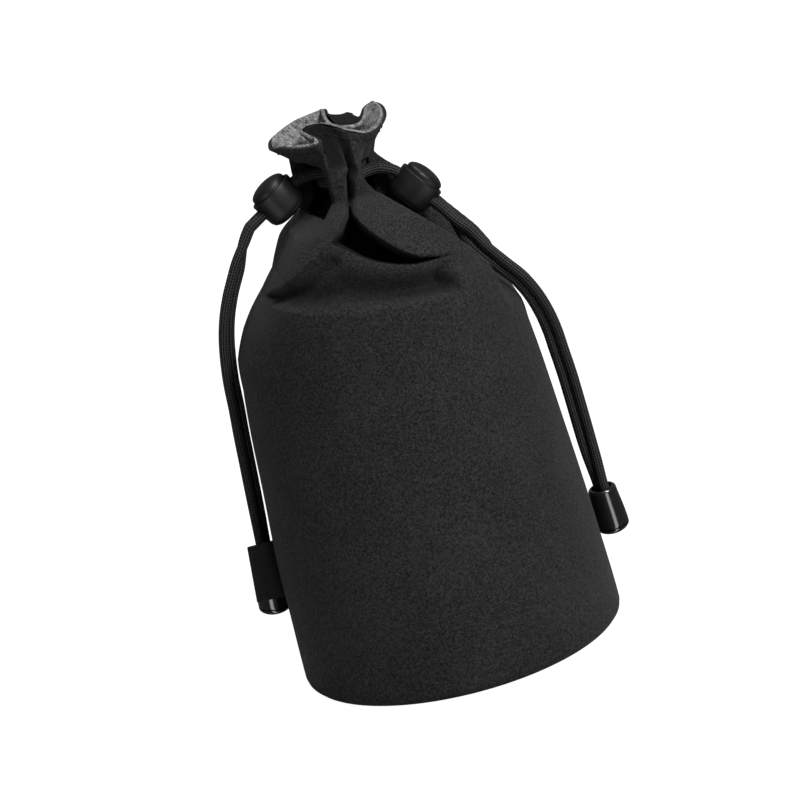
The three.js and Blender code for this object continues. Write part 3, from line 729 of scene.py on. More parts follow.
def closed_curve(keys, values, at):
    """A smooth closed curve through values at rising keys that repeat after a full turn."""
    turn = 2 * math.pi
    keys = np.concatenate([keys[-2:] - turn, keys, keys[:3] + turn])
    values = np.concatenate([values[-2:], values, values[:3]])
    slopes = np.zeros_like(values)
    slopes[1:-1] = (values[2:] - values[:-2]) / (keys[2:] - keys[:-2])[:, None]
    i = np.clip(np.searchsorted(keys, at, side="right") - 1, 1, len(keys) - 3)
    span = (keys[i + 1] - keys[i])[:, None]
    t = ((at - keys[i]) / span[:, 0])[:, None]
    return (
        values[i] * (1 + 2 * t) * (1 - t) ** 2
        + span * slopes[i] * t * (1 - t) ** 2
        + values[i + 1] * t * t * (3 - 2 * t)
        + span * slopes[i + 1] * t * t * (t - 1)
    )


def rim(angle, inset=0):
    """The ruffle's edge, or a line inside it."""
    table = np.array(RIM)
    keys = np.radians(table[:, 0])
    edge = closed_curve(keys, table[:, 1:], angle)
    step = 1e-3
    along = closed_curve(keys, table[:, 1:], angle + step) - closed_curve(keys, table[:, 1:], angle - step)
    outward = np.stack([along[:, 1], -along[:, 0]], axis=1) / np.hypot(along[:, 0], along[:, 1])[:, None]
    edge[:, :2] -= outward * inset
    return edge


def ruffle(angle, share, from_radius, from_height, inset=0, flare=RIM_FLARE, flop=FLOP, lift=0):
    """Between the neck, share 0, and the rim, share 1."""
    low = round_pouch(angle, from_radius, np.full(angle.shape, from_height))
    high = rim(angle, inset) + np.array([0, 0, lift])
    points = mix(low, high, share[:, None] ** flare)
    points[:, 2] = mix(low[:, 2], high[:, 2], share)
    from_back = 180 - np.abs(np.degrees(angle))
    flopped = 4 * share * (1 - share) * (1 - ease(from_back, *FLOP_ANGLES))
    return points + flopped[:, None] * np.array(flop)


WALL_COLUMNS = 300
FRONT_CROWDING = 0.66
RUFFLE_HEIGHT = 0.018
BODY_ROWS = np.linspace(BASE_EDGE, BODY_HEIGHT, 26)[:-1]
LOW_SHOULDER_ROWS = np.linspace(BODY_HEIGHT, 0.134, 12)[:-1]
SHOULDER_ROWS = np.linspace(0.134, NECK_LOW, 66)[:-1]
NECK_ROWS = np.linspace(NECK_LOW, NECK_HIGH, 13)[:-1]
RUFFLE_ROWS = np.linspace(NECK_HIGH, NECK_HIGH + RUFFLE_HEIGHT, 34)
WALL_ROWS = np.concatenate([BODY_ROWS, LOW_SHOULDER_ROWS, SHOULDER_ROWS, NECK_ROWS, RUFFLE_ROWS])


def wall_angle(share):
    """Columns lie closer together at the front, where the creases are."""
    turn = 2 * share - 1
    return math.pi * turn - FRONT_CROWDING * np.sin(math.pi * turn)


def shell_points(angle, row):
    """Rows from -1 to 0 roll in under the base, rows above the neck belong to the ruffle."""
    roll = np.radians(np.clip(row, -1, 0) * 90)
    edge = fold_radius(np.array(BASE_EDGE), 0) - BASE_EDGE
    rolled = round_pouch(angle, edge + BASE_EDGE * np.cos(roll), BASE_EDGE + BASE_EDGE * np.sin(roll))
    height = np.clip(row, BASE_EDGE, NECK_HIGH)
    wall = round_pouch(angle, wall_radius(angle, height), height)
    wall += on_front(angle, height, pocket_depth)[:, None] * np.array(POCKET_HEADING)
    neck = wall_radius(angle, np.full(angle.shape, NECK_HIGH))
    share = np.clip((row - NECK_HIGH) / RUFFLE_HEIGHT, 0, 1)
    open_top = ruffle(angle, share, neck, NECK_HIGH)
    points = np.where((row > NECK_HIGH)[:, None], open_top, wall)
    return np.where((row < 0)[:, None], rolled, points)


def row_at(rows, share):
    return rows[np.rint(share * (len(rows) - 1)).astype(int)]


def cut_exits(piece, angles, rows):
    """Takes out the faces of the two openings that the cords leave by."""
    turn, height = np.degrees(angles), np.clip(rows, 0, NECK_HIGH)
    left_start = fold_at(height, LEFT_FRONT_FOLD) - EXIT_BEHIND_FOLD["left"]
    right_start = fold_at(height, RIGHT_FRONT_FOLD) + EXIT_BEHIND_FOLD["right"]
    inside_slot = (turn < left_start) & (turn > EXIT_BACK["left"])
    inside_slot |= (turn > right_start) & (turn < EXIT_BACK["right"])
    inside_slot &= (rows > EXIT_LOW) & (rows < fold_at(turn, EXIT_HIGH))
    edit(piece)
    bpy.ops.mesh.select_all(action="DESELECT")
    bpy.ops.object.mode_set(mode="OBJECT")
    piece.data.vertices.foreach_set("select", inside_slot)
    bpy.ops.object.mode_set(mode="EDIT")
    bpy.ops.mesh.delete(type="VERT")
    done()


def painted_fold_shade(angle, row):
    """Painted shade, for how little light reaches the fabric: 1 deep in a fold, 0 in the open."""
    height = np.clip(row, BASE_EDGE, NECK_HIGH)
    # painted shade deep in the pocket and, more lightly, on the ledge
    wall = ease(on_front(angle, height, pocket_depth), 0.001, 0.006)
    wall = np.maximum(wall, 0.58 * ease(on_front(angle, height, crease_depth), 0.0005, LEDGE_DEPTH))
    share, turn = (row - NECK_HIGH) / RUFFLE_HEIGHT, np.degrees(angle)
    # painted shade in the valley behind the right front fold and beside the left front fold
    valley = ease(turn - fold_at(height, RIGHT_FRONT_FOLD), 1.5, 7) * (1 - ease(turn, 93, 107))
    wall = np.maximum(wall, 0.7 * valley * ease(height, 0.136, 0.152))
    beside_fold = ease(fold_at(height, LEFT_FRONT_FOLD) - turn, 3, 10) * (turn > EXIT_BACK["left"])
    wall = np.maximum(wall, 0.85 * beside_fold * ease(height, 0.165, 0.169))
    # painted shade in the ruffle's middle crevice and where its back flops forward
    crevice = 0.9 * ease(turn, -15, -9) * (1 - ease(turn, 9, 15)) * ease(share, 0, 0.2)
    flop = 0.8 * (1 - ease(180 - np.abs(turn), *FLOP_ANGLES))
    return np.where(row > NECK_HIGH, np.maximum(crevice, flop), wall * (row > 0.12))


def outer_shell(finishes):
    rows = np.concatenate([[-1, -0.66, -0.33], WALL_ROWS])
    kept = {}

    def place(u, v):
        kept["angles"], kept["rows"] = wall_angle(u), row_at(rows, v)
        return shell_points(kept["angles"], kept["rows"])

    piece = lofted("outer_shell", WALL_COLUMNS, len(rows) - 1, place, weld=False)
    # painted shade, laid on the points, that darkens the fabric's colour in folds
    painted_shade_layer = piece.data.attributes.new("painted_shade_layer", "FLOAT", "POINT")
    painted_shade_layer.data.foreach_set("value", painted_fold_shade(kept["angles"], kept["rows"]))
    cut_exits(piece, kept["angles"], kept["rows"])
    edit(piece)
    bpy.ops.mesh.remove_doubles(threshold=WELD_DISTANCE)
    done()
    piece.data.materials.append(finishes["soft_shell"])
    piece.data.materials.append(finishes["shell_back"])
    thicken(piece, SHELL_THICKNESS)
    fit(piece, "pouch", "outer_fabric", "outer_front_panel", "outer_back_panel")


def plush_points(angle, row):
    """The lining: inside the foam below, inside the cords at the neck, along the shell in the ruffle."""
    z = np.clip(row, 0, NECK_HIGH)
    over_foam = SHELL_THICKNESS + FOAM_THICKNESS + 2 * LAYER_GAP
    inset = mix(over_foam, SHELL_THICKNESS + LAYER_GAP, ease(z, FOAM_TOP, FOAM_TOP + 0.008))
    around = [(turn, rise) for turn in (-0.06, -0.03, 0, 0.03, 0.06) for rise in (-0.0014, 0, 0.0014)]
    walls = [wall_radius(angle + turn, np.clip(z + rise, 0, NECK_HIGH)) for turn, rise in around]
    nearest = np.min(walls, axis=0)
    under = mix(wall_radius(angle, z), nearest, ease(z, BODY_HEIGHT, BODY_HEIGHT + 0.01))
    radius = mix(under - inset, THROAT_RADIUS, ease(z, NECK_LOW - 0.008, NECK_LOW + 0.0025))
    wall = round_pouch(angle, radius, z)
    drawn = np.clip((radius - THROAT_RADIUS) / (wall_radius(angle, z) - THROAT_RADIUS), 0, 1)
    wall += (1.1 * drawn * on_front(angle, z, pocket_depth))[:, None] * np.array(POCKET_HEADING)
    share = np.clip((row - NECK_HIGH) / RUFFLE_HEIGHT, 0, 1)
    throat = np.full(angle.shape, THROAT_RADIUS)
    inset = SHELL_THICKNESS + LAYER_GAP / 2
    open_top = ruffle(angle, share, throat, NECK_HIGH, inset, flare=1, flop=(0, 0, 0), lift=LAYER_GAP)
    return np.where((row > NECK_HIGH)[:, None], open_top, wall)


def plush_inside(finishes):
    rows = WALL_ROWS[WALL_ROWS > 0.005]
    piece = lofted(
        "plush_inside", WALL_COLUMNS, len(rows) - 1,
        lambda u, v: plush_points(wall_angle(u), row_at(rows, v)),
    )
    piece.data.materials.append(finishes["shell_back"])
    piece.data.materials.append(finishes["plush"])
    thicken(piece, PLUSH_THICKNESS, inner_material=1)
    fit(piece, "pouch", "plush", "plush_lining")


def wall_foam(finishes):
    rows = np.linspace(0.005, FOAM_TOP, 30)

    def place(u, v):
        angle, z = wall_angle(u), row_at(rows, v)
        return round_pouch(angle, wall_radius(angle, z) - SHELL_THICKNESS - LAYER_GAP, z)

    piece = lofted("wall_foam", 120, len(rows) - 1, place)
    piece.data.materials.append(finishes["foam"])
    thicken(piece, FOAM_THICKNESS)
    fit(piece, "pouch", "foam", "wall_padding")


def base_disc(name, radius, low, high, finish, slot, node):
    """A flat round layer with soft edges."""
    edge = min(0.0006, (high - low) / 2.2)
    outline = [(0, low), (radius * 0.5, low), (radius - edge, low)]
    outline += arc(radius - edge, low + edge, edge, -90, 0, 4)[1:]
    outline += arc(radius - edge, high - edge, edge, 0, 90, 4)
    outline += [(radius * 0.5, high), (0, high)]
    piece = spun(name, outline, 96)
    piece.data.materials.append(finish)
    return fit(piece, "pouch", slot, node)


def base_layers(finishes):
    for name, node, slot, finish in (
        ("base_disc", "base_panel", "outer_fabric", "soft_shell"),
        ("base_foam", "base_padding", "foam", "foam"),
        ("base_plush", "base_lining", "plush", "plush"),
    ):
        low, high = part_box(node)
        piece = base_disc(name, high.x, low.z, high.z, finishes[finish], slot, node)


def rim_stitches(finishes):
    """A row of topstitching round the outside of the ruffle."""
    angles = np.linspace(-math.pi, math.pi, 1441)
    neck = wall_radius(angles, np.full(angles.shape, NECK_HIGH))
    line = ruffle(angles, np.full(angles.shape, 1 - STITCH_BELOW_RIM), neck, NECK_HIGH)
    run = np.concatenate([[0], np.cumsum(np.linalg.norm(np.diff(line, axis=0), axis=1))])
    count = int(run[-1] / STITCH_PITCH)
    stitches = []
    for at in (np.arange(count) + 0.5) * run[-1] / count:
        centre = Vector([np.interp(at, run, line[:, k]) for k in range(3)])
        ahead = Vector([np.interp(at + 5e-4, run, line[:, k]) for k in range(3)]) - centre
        ahead.normalize()
        outward = ahead.cross(Vector((0, 0, 1))).normalized()
        deselect()
        bpy.ops.mesh.primitive_ico_sphere_add(subdivisions=1, radius=1)
        stitch = bpy.context.object
        turn = Matrix((ahead, outward, ahead.cross(outward))).transposed().to_4x4()
        size = Matrix.Diagonal((STITCH_LENGTH / 2, STITCH_HALF_DEPTH, STITCH_HALF_WIDTH, 1))
        stitch.data.transform(Matrix.Translation(centre + outward * STITCH_PROUD) @ turn @ size)
        stitches.append(stitch)
    piece = join("rim_stitches", stitches)
    edit(piece)
    bpy.ops.mesh.normals_make_consistent(inside=False)
    done()
    piece.data.materials.append(finishes["thread"])
    fit(piece, "pouch", "outer_fabric")


def side_tape(finishes):
    """A tape folded double, its two ends in the seam and the fold outermost."""
    low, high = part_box("side_tab")
    half = (high.y - low.y) / 2 - TAB_FOLD_MARGIN
    reach = high.x - low.x - 2 * TAB_MARGIN
    straight = reach - half

    def place(u, v):
        run = (u - 0.5) * (2 * straight + math.pi * half)
        bend = np.clip(run / half, -math.pi / 2, math.pi / 2)
        past = np.abs(run) - math.pi * half / 2
        x = np.where(past > 0, straight - past, straight + half * np.cos(bend))
        y = half * np.sin(bend)
        z = mix(low.z + TAB_MARGIN, high.z - TAB_MARGIN, v)
        free = np.clip(x / reach, 0, 1)
        wave = 0.00025 * np.sin(v * 5 + 1) * free
        swing = TAB_SWING * (1 - v) * free
        return np.stack([high.x - TAB_MARGIN - x - swing, y + wave, z], axis=1)

    piece = lofted("side_tape", 48, 30, place, weld=False)
    piece.data.materials.append(finishes["tape"])
    apply_modifier(piece, "SOLIDIFY", thickness=TAB_TAPE, offset=0)
    apply_modifier(piece, "BEVEL", width=0.00018, segments=2, limit_method="ANGLE")
    fit(piece, "pouch", "tape", "side_tab")


# Cords


def smooth_line(points, step):
    """Points every step along a smooth curve through the given points."""
    ends = np.array(points, float)
    ends = np.vstack([2 * ends[0] - ends[1], ends, 2 * ends[-1] - ends[-2]])
    fine = []
    for a, b, c, d in zip(ends, ends[1:], ends[2:], ends[3:]):
        k = np.cumsum([0] + [np.linalg.norm(e) ** 0.5 for e in (b - a, c - b, d - c)])
        for t in np.linspace(k[1], k[2], 24, endpoint=False):
            ab = mix(a, b, (t - k[0]) / (k[1] - k[0]))
            bc = mix(b, c, (t - k[1]) / (k[2] - k[1]))
            cd = mix(c, d, (t - k[2]) / (k[3] - k[2]))
            abc = mix(ab, bc, (t - k[0]) / (k[2] - k[0]))
            bcd = mix(bc, cd, (t - k[1]) / (k[3] - k[1]))
            fine.append(mix(abc, bcd, (t - k[1]) / (k[2] - k[1])))
    fine = np.array(fine + [ends[-2]])
    run = np.concatenate([[0], np.cumsum(np.linalg.norm(np.diff(fine, axis=0), axis=1))])
    places = np.linspace(0, run[-1], int(round(run[-1] / step)) + 1)
    return np.stack([np.interp(places, run, fine[:, k]) for k in range(3)], axis=1)


def directions(line):
    along = np.gradient(line, axis=0)
    return along / np.linalg.norm(along, axis=1)[:, None]


def braided(name, line, finish, diameter=CORD_DIAMETER, sides=44, swell=0):
    """A braided cord along a line, with its strands standing out of it."""
    along = directions(line)
    side = np.zeros_like(line)
    side[0] = np.cross(along[0], (0.3, 0.9, 0.2))
    for i in range(len(line)):
        previous = side[max(i - 1, 0)]
        side[i] = previous - along[i] * np.dot(previous, along[i])
        side[i] /= np.linalg.norm(side[i])
    other = np.cross(along, side)
    run = np.concatenate([[0], np.cumsum(np.linalg.norm(np.diff(line, axis=0), axis=1))]) / BRAID_PITCH

    def place(u, v):
        i = np.rint(v * (len(line) - 1)).astype(int)
        turn = 2 * math.pi * u
        strands = turn * BRAID_STRANDS / 2
        along_run = 2 * math.pi * run[i]
        relief = np.cos(strands + along_run) * np.cos(strands - along_run)
        radius = (diameter / 2 + swell - BRAID_DEPTH + BRAID_DEPTH * relief)[:, None]
        return line[i] + radius * (side[i] * np.cos(turn)[:, None] + other[i] * np.sin(turn)[:, None])

    piece = lofted(name, sides, len(line) - 1, place)
    for loop in piece.data.uv_layers.active.data:
        loop.uv.y *= run[-1]
    edit(piece)
    bpy.ops.mesh.select_all(action="DESELECT")
    bpy.ops.mesh.select_non_manifold()
    bpy.ops.mesh.fill_holes(sides=0)
    done()
    piece.data.materials.append(finish)
    return piece


PAIR_SPACING = CORD_DIAMETER + CORD_GAP
EXIT_TURN_Y = PAIR_SPACING / 2 + CORD_BEND
EXIT_TURN_X = math.sqrt((LOOP_RADIUS + CORD_BEND) ** 2 - EXIT_TURN_Y**2)
EXIT_X = EXIT_TURN_X + CORD_LEAD


def lock_frame(side):
    """The middle of a cord lock and its directions: out along the cords, across them, up to the button."""
    lean_angle, turn = math.radians(side["lean"]), math.radians(side["turn"])
    outward = side["outward"]
    up = np.array([outward * math.sin(lean_angle), 0, math.cos(lean_angle)])
    away = np.array([outward * math.cos(lean_angle), 0, -math.sin(lean_angle)])
    out = away * math.cos(turn) + np.array([0, -math.sin(turn), 0])
    middle = np.array([outward * (EXIT_X + side["away"]), -side["forward"], NECK_MIDDLE - side["drop"]])
    return middle, out, np.cross(up, out), up


def loop_height(side):
    return NECK_MIDDLE + side["level"] * PAIR_SPACING


def pair_line(side):
    middle, out, _, _ = lock_frame(side)
    z = loop_height(side)
    seam = [(side["outward"] * (EXIT_X + d), 0, z) for d in (CORD_GAP, CORD_GAP + CORD_LEAD)]
    inlet, outlet = -LOCK_RADIUS - CORD_LEAD, LOCK_RADIUS + LOCK_TRAVEL
    through = [middle + out * d for d in (inlet, inlet / 2, 0, outlet / 2, outlet, outlet + CORD_LEAD)]
    return smooth_line([*seam, *through, *side["fall"]], CORD_STEP)


def pair_of_cords(side):
    """Two cords side by side: across the lock's hole, then one outside and in front of the other."""
    line = pair_line(side)
    along = directions(line)
    share = np.linspace(0, 1, len(line))
    _, _, across, _ = lock_frame(side)
    forward = np.array([0, -1, 0])
    in_lock = across * np.sign(-across[1])
    beside = mix(*side["beside"], ease(share, 0.8, 0.97)) * side["outward"]
    hanging = np.stack([beside, np.full(len(line), -1), np.zeros(len(line))], axis=1)
    hanging /= np.linalg.norm(hanging, axis=1)[:, None]
    apart = mix(forward, in_lock, ease(share, 0.015, 0.06)[:, None])
    apart = mix(apart, hanging, ease(share, 0.185, 0.27)[:, None])
    apart -= along * np.sum(apart * along, axis=1)[:, None]
    apart /= np.linalg.norm(apart, axis=1)[:, None]
    return {"front": line + apart * PAIR_SPACING / 2, "rear": line - apart * PAIR_SPACING / 2, "middle": line}


def neck_loop(side):
    """The cord's way round the neck, with both ends turned out of the seam."""
    z, outward = loop_height(side), side["outward"]
    exit_angle = math.asin(EXIT_TURN_Y / (LOOP_RADIUS + CORD_BEND))
    quarter = [mix(math.pi / 2, math.pi - exit_angle, i / 4) for i in range(4)]
    turn_out = [
        (EXIT_TURN_X + CORD_BEND * math.cos(a), CORD_BEND * math.sin(a) - EXIT_TURN_Y) for a in quarter
    ]
    rounds = np.linspace(-exit_angle, exit_angle - 2 * math.pi, 26)
    circle = [(LOOP_RADIUS * math.cos(a), LOOP_RADIUS * math.sin(a)) for a in rounds]
    start = EXIT_X + CORD_GAP
    line = [(start, -PAIR_SPACING / 2), *turn_out, *circle]
    line += [(x, -y) for x, y in turn_out[::-1]] + [(start, PAIR_SPACING / 2)]
    return smooth_line([(outward * x, outward * y, z) for x, y in line], CORD_STEP)


# Cord locks and cord ends


def in_frame(piece, middle, out, across, up):
    turn = Matrix((Vector(out), Vector(across), Vector(up))).transposed().to_4x4()
    piece.data.transform(Matrix.Translation(Vector(middle)) @ turn)
    piece.data.update()
    return piece


HOLE_WIDTH = 2 * CORD_DIAMETER + 3 * CORD_GAP
HOLE_HEIGHT = CORD_DIAMETER + 2 * CORD_GAP
LOCK_WALL = 0.001
LOCK_RIM = 0.0021
LOCK_FOOT = 0.0034
LOCK_FLOOR = 0.0009
LOCK_DRAFT = 0.0004  # the barrel is narrower at its foot
LOCK_DISH = 0.0002  # hollow of its underside, out to a radius
LOCK_DISH_RADIUS = 0.002
LOCK_EDGE = 0.0004  # rounding of the bore's floor and of the plunger
LOCK_BEVEL = 0.00025
LOCK_BEVEL_ANGLE = math.radians(50)
LOCK_SMOOTH_ANGLE = 35
BUTTON_TRAVEL = 0.0022
BUTTON_FLOOR = 0.001
BUTTON_ROOF = 0.0008
BUTTON_DOME = 0.0028
SPRING_LENGTH = 0.0032
SPRING_WIRE = 0.0004
SPRING_RADIUS = 0.004
SPRING_TURNS = 2
PLUNGER_LOW = -HOLE_HEIGHT / 2 - BUTTON_FLOOR
BARREL_FLOOR = PLUNGER_LOW - SPRING_LENGTH
BARREL_LOW = BARREL_FLOOR - LOCK_FLOOR
RIM_TOP = HOLE_HEIGHT / 2 + LOCK_RIM
DOME_LOW = HOLE_HEIGHT / 2 + BUTTON_TRAVEL + BUTTON_ROOF


def slot_cutter(height, centre):
    """A bar with rounded ends through the lock along the cords."""
    deselect()
    bpy.ops.mesh.primitive_cube_add(size=1)
    cutter = bpy.context.object
    cutter.data.transform(Matrix.Translation((0, 0, centre)) @ Matrix.Diagonal((0.03, HOLE_WIDTH, height, 1)))
    edit(cutter)
    bpy.ops.mesh.select_all(action="DESELECT")
    bpy.ops.object.mode_set(mode="OBJECT")
    points = points_of(cutter)
    for edge in cutter.data.edges:
        start, end = (points[i] for i in edge.vertices)
        edge.select = bool(abs(start[0] - end[0]) > LOCK_RADIUS)
    bpy.ops.object.mode_set(mode="EDIT")
    bpy.ops.mesh.select_mode(type="EDGE")
    bpy.ops.mesh.bevel(offset=HOLE_HEIGHT * 0.48, segments=8, affect="EDGES")
    done()
    return cutter


def cord_lock(name, side, finishes):
    lock = lock_frame(side)
    foot = arc(LOCK_RADIUS - LOCK_DRAFT - LOCK_FOOT, BARREL_LOW + LOCK_FOOT, LOCK_FOOT, -90, 0, 10)
    lip = arc(LOCK_RADIUS - LOCK_WALL / 2, RIM_TOP - LOCK_WALL / 2, LOCK_WALL / 2, 0, 180, 8)
    bore = LOCK_RADIUS - LOCK_WALL
    waist = (LOCK_RADIUS - LOCK_DRAFT / 2, -0.001)
    outline = [(0, BARREL_LOW + LOCK_DISH), (LOCK_DISH_RADIUS, BARREL_LOW), *foot, waist, *lip]
    outline += [(bore, BARREL_FLOOR + LOCK_EDGE), (bore - LOCK_EDGE, BARREL_FLOOR), (0, BARREL_FLOOR)]
    barrel = spun(f"{name}_barrel", outline, 64)
    cut_away(barrel, slot_cutter(HOLE_HEIGHT, 0))
    apply_modifier(
        barrel, "BEVEL", width=LOCK_BEVEL, segments=2, limit_method="ANGLE", angle_limit=LOCK_BEVEL_ANGLE,
    )
    barrel.data.materials.append(finishes["satin_plastic"])
    edit(barrel)
    done(LOCK_SMOOTH_ANGLE)
    fit(in_frame(barrel, *lock), f"{name}_lock", "lock_plastic", f"{name}_lock_barrel")

    radius = bore - CORD_GAP
    quarter = np.linspace(0, math.pi / 2, 14)
    dome = [(radius * math.cos(a), DOME_LOW + BUTTON_DOME * math.sin(a)) for a in quarter]
    dome[-1] = (0, DOME_LOW + BUTTON_DOME)
    edge = arc(radius - LOCK_EDGE, PLUNGER_LOW + LOCK_EDGE, LOCK_EDGE, -90, 0, 4)
    outline = [(0, PLUNGER_LOW), *edge, *dome]
    button = spun(f"{name}_button", outline, 64)
    cut_away(button, slot_cutter(HOLE_HEIGHT + BUTTON_TRAVEL, BUTTON_TRAVEL / 2))
    button.data.materials.append(finishes["satin_plastic"])
    edit(button)
    done(LOCK_SMOOTH_ANGLE)
    fit(in_frame(button, *lock), f"{name}_button", "lock_plastic", f"{name}_lock_button")

    seat = CORD_GAP / 2 + SPRING_WIRE / 2
    turns = np.linspace(0, 1, SPRING_TURNS * 40 + 1)
    angle = turns * SPRING_TURNS * 2 * math.pi
    rise = BARREL_FLOOR + seat + turns * (SPRING_LENGTH - 2 * seat)
    wire = np.stack([SPRING_RADIUS * np.cos(angle), SPRING_RADIUS * np.sin(angle), rise], axis=1)
    coil = braided(f"{name}_coil", wire, finishes["spring_steel"], SPRING_WIRE, 8)
    in_frame(coil, *lock)
    fit(coil, f"{name}_lock", "spring_steel", f"{name}_lock_spring")
    middle, _, _, up = lock
    anchor = middle + up * BARREL_FLOOR
    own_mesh(coil)


BELL_TOP_RADIUS = 0.0052
BELL_RADIUS = 0.0061
BELL_LENGTH = 0.015
BELL_WALL = 0.0014
BELL_NECK = 0.004
BELL_CROWN = 0.0012  # rounding of its top
BELL_LIP = 0.0003  # rounding of its mouth
PLUG_DOME = 0.003
PLUG_SPIGOT = 0.002
KNOT_HEIGHT = 0.006
KNOT_STRAND = 0.0026


def cord_end(name, end, heading, finishes):
    """A bell over the knotted cord ends, with a domed plug in its mouth."""
    down = Vector(heading).normalized()
    across = Vector((0, 1, 0)).cross(down).normalized()
    place = (end, across, (-down).cross(across), -down)
    bell_low = BELL_NECK - BELL_LENGTH
    hole = PAIR_SPACING / 2 + CORD_DIAMETER / 2 + CORD_GAP
    cavity = BELL_RADIUS - BELL_WALL
    crown = arc(BELL_TOP_RADIUS - BELL_CROWN, BELL_NECK - BELL_CROWN, BELL_CROWN, 0, 90, 7)
    mouth = arc(BELL_RADIUS - BELL_LIP, bell_low + BELL_LIP, BELL_LIP, -90, 0, 3)
    waist = [
        (mix(BELL_RADIUS, BELL_TOP_RADIUS, t**1.4), mix(bell_low + 0.0012, BELL_NECK - 0.002, t))
        for t in (0, 0.25, 0.5, 0.75)
    ]
    outline = [(hole, 0), (cavity, hole - cavity), (cavity, bell_low)]
    outline += [*mouth, *waist, *crown, (hole, BELL_NECK)]
    bell = spun(f"{name}_bell_shell", outline, 56)
    bell.data.materials.append(finishes["gloss_plastic"])
    fit(in_frame(bell, *place), "pouch", "bell_plastic", f"{name}_bell")

    plug_top = bell_low - CORD_GAP
    quarter = np.linspace(-math.pi / 2, 0, 12)
    dome = [(BELL_RADIUS * math.cos(a), plug_top + PLUG_DOME * math.sin(a)) for a in quarter]
    dome[0] = (0, plug_top - PLUG_DOME)
    spigot, spigot_top = cavity - CORD_GAP, plug_top + PLUG_SPIGOT
    outline = [*dome, (BELL_RADIUS - BELL_LIP, plug_top), (spigot, plug_top)]
    outline += [(spigot, spigot_top), (0, spigot_top)]
    cap = spun(f"{name}_bell_cap", outline, 56)
    cap.data.materials.append(finishes["gloss_plastic"])
    fit(in_frame(cap, *place), "pouch", "bell_plastic", f"{name}_bell_plug")

    t = np.linspace(0, 2 * math.pi, 181)
    spread = (cavity - CORD_GAP - KNOT_STRAND / 2) / 3
    knot_middle = min(hole - cavity, 0) - CORD_GAP - KNOT_HEIGHT / 2
    rise = (KNOT_HEIGHT - KNOT_STRAND) / 2
    x = spread * (np.sin(t) + 2 * np.sin(2 * t))
    y = spread * (np.cos(t) - 2 * np.cos(2 * t))
    line = np.stack([x, y, knot_middle - rise * np.sin(3 * t)], axis=1)
    knot = braided(f"{name}_knot", line, finishes["braid"], KNOT_STRAND, 14)
    fit(in_frame(knot, *place), "pouch", "braid", f"{name}_cord_knot")
    return [bell, cap], knot


def cords_and_hardware(finishes):
    for name, side in SIDES.items():
        cords = pair_of_cords(side)
        end, heading = cords["middle"][-1], directions(cords["middle"])[-1]
        bell, knot = cord_end(name, end, heading, finishes)
        loop = braided(f"{name}_neck_cord", neck_loop(side), finishes["braid"], swell=CORD_SWELL)
        fit(loop, "pouch", "braid", f"{name}_cord_loop")
        for which, far_end, pieces in (("front", "fitting", bell), ("rear", "knot", [knot])):
            line = cords[which]
            cord = braided(f"{name}_{which}_cord", line, finishes["braid"], swell=CORD_SWELL)
            fit(cord, "pouch", "braid", f"{name}_cord_{which}")
        cord_lock(name, side, finishes)


# Stage


FLOOR_SIZE = 16
FLOOR_BACK = 4
CAMERA_GLOW = (0.75, 1.3)  # share and strength of the glow that makes the floor white to the camera
GLOSS_GLOW = (1, 4)  # the same for what glossy pieces mirror
# a painted reflection: the floor glows for glossy rays only, brightest in a strip
# The cord ends mirror a bright strip, which lies at this bearing from them, between these half widths
CORD_END_PLACE = (0.063, 0.015)
STRIP_BEARING = 0.4
STRIP_HALF_WIDTHS = (0.24, 0.12)
SKY_STRENGTH = 0.17
LIGHT_AIM = (0, 0, 0.1)
# Place, size and power of each lamp
LAMPS = {
    "key": ((0.9, -1.1, 1.4), 0.6, 48),
    "fill": ((-1.3, -1.3, 0.9), 0.8, 1),
    "top": ((0.1, 0, 1.7), 0.7, 12),
}


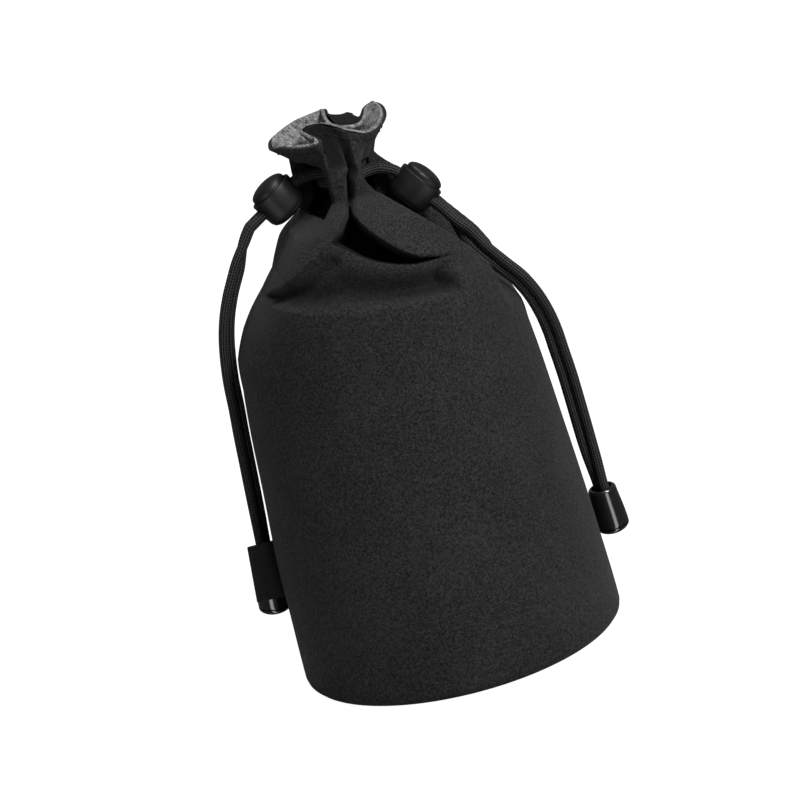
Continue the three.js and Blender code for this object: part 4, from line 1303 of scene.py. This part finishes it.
def white_floor():
    """White to the camera, while it keeps the shadow of the pouch."""
    deselect()
    bpy.ops.mesh.primitive_plane_add(size=FLOOR_SIZE, location=(0, FLOOR_BACK, 0))
    floor = bpy.context.object
    floor.name = "floor"
    finish = Finish("floor", (0.7, 0.7, 0.7), 0.9)
    tree = finish.tree
    path = tree.nodes.new("ShaderNodeLightPath")
    surface = finish.shader
    x, y, _ = coordinates(finish, finish.place())
    aside = x.math("ABSOLUTE") - CORD_END_PLACE[0]
    bearing = aside.math("ARCTAN2", CORD_END_PLACE[1] - FLOOR_BACK - y)
    strip = finish.between((bearing - STRIP_BEARING).math("ABSOLUTE"), *STRIP_HALF_WIDTHS)
    # painted reflection: the bright strip that the cord ends mirror as highlights
    painted_reflection = finish.blend(strip, (0.03, 0.03, 0.03), (1, 1, 1))
    glows = (("Is Camera Ray", CAMERA_GLOW, None), ("Is Glossy Ray", GLOSS_GLOW, painted_reflection))
    for ray, (share, strength), color in glows:
        glow = tree.nodes.new("ShaderNodeEmission")
        glow.inputs["Strength"].default_value = strength
        if color is not None:
            finish.put(glow.inputs["Color"], color)
        blend = tree.nodes.new("ShaderNodeMixShader")
        finish.put(blend.inputs[0], Term(finish, path.outputs[ray]) * share)
        tree.links.new(surface.outputs[0], blend.inputs[1])
        tree.links.new(glow.outputs[0], blend.inputs[2])
        surface = blend
    output = next(n for n in tree.nodes if n.type == "OUTPUT_MATERIAL")
    tree.links.new(surface.outputs[0], output.inputs["Surface"])
    floor.data.materials.append(finish.material)


def studio_light():
    world = bpy.data.worlds.new("studio")
    bpy.context.scene.world = world
    world.use_nodes = True
    sky = next(n for n in world.node_tree.nodes if n.type == "BACKGROUND")
    sky.inputs["Color"].default_value = (1, 1, 1, 1)
    sky.inputs["Strength"].default_value = SKY_STRENGTH

    for name, (place, size, power) in LAMPS.items():
        light = bpy.data.lights.new(name, "AREA")
        light.size = size
        light.energy = power
        lamp = bpy.data.objects.new(name, light)
        lamp.location = place
        lamp.rotation_euler = (Vector(LIGHT_AIM) - Vector(place)).to_track_quat("-Z", "Y").to_euler()
        bpy.context.scene.collection.objects.link(lamp)


def main():
    bpy.context.scene.view_settings.view_transform = "Standard"
    place_camera()
    soft = (soft_shell, shell_back, plush, foam, braid, tape, thread)
    hard = (satin_plastic, gloss_plastic, spring_steel)
    finishes = {make.__name__: make() for make in (*soft, *hard)}
    cords_and_hardware(finishes)
    wall_foam(finishes)
    outer_shell(finishes)
    plush_inside(finishes)
    base_layers(finishes)
    rim_stitches(finishes)
    side_tape(finishes)
    white_floor()
    studio_light()


main()
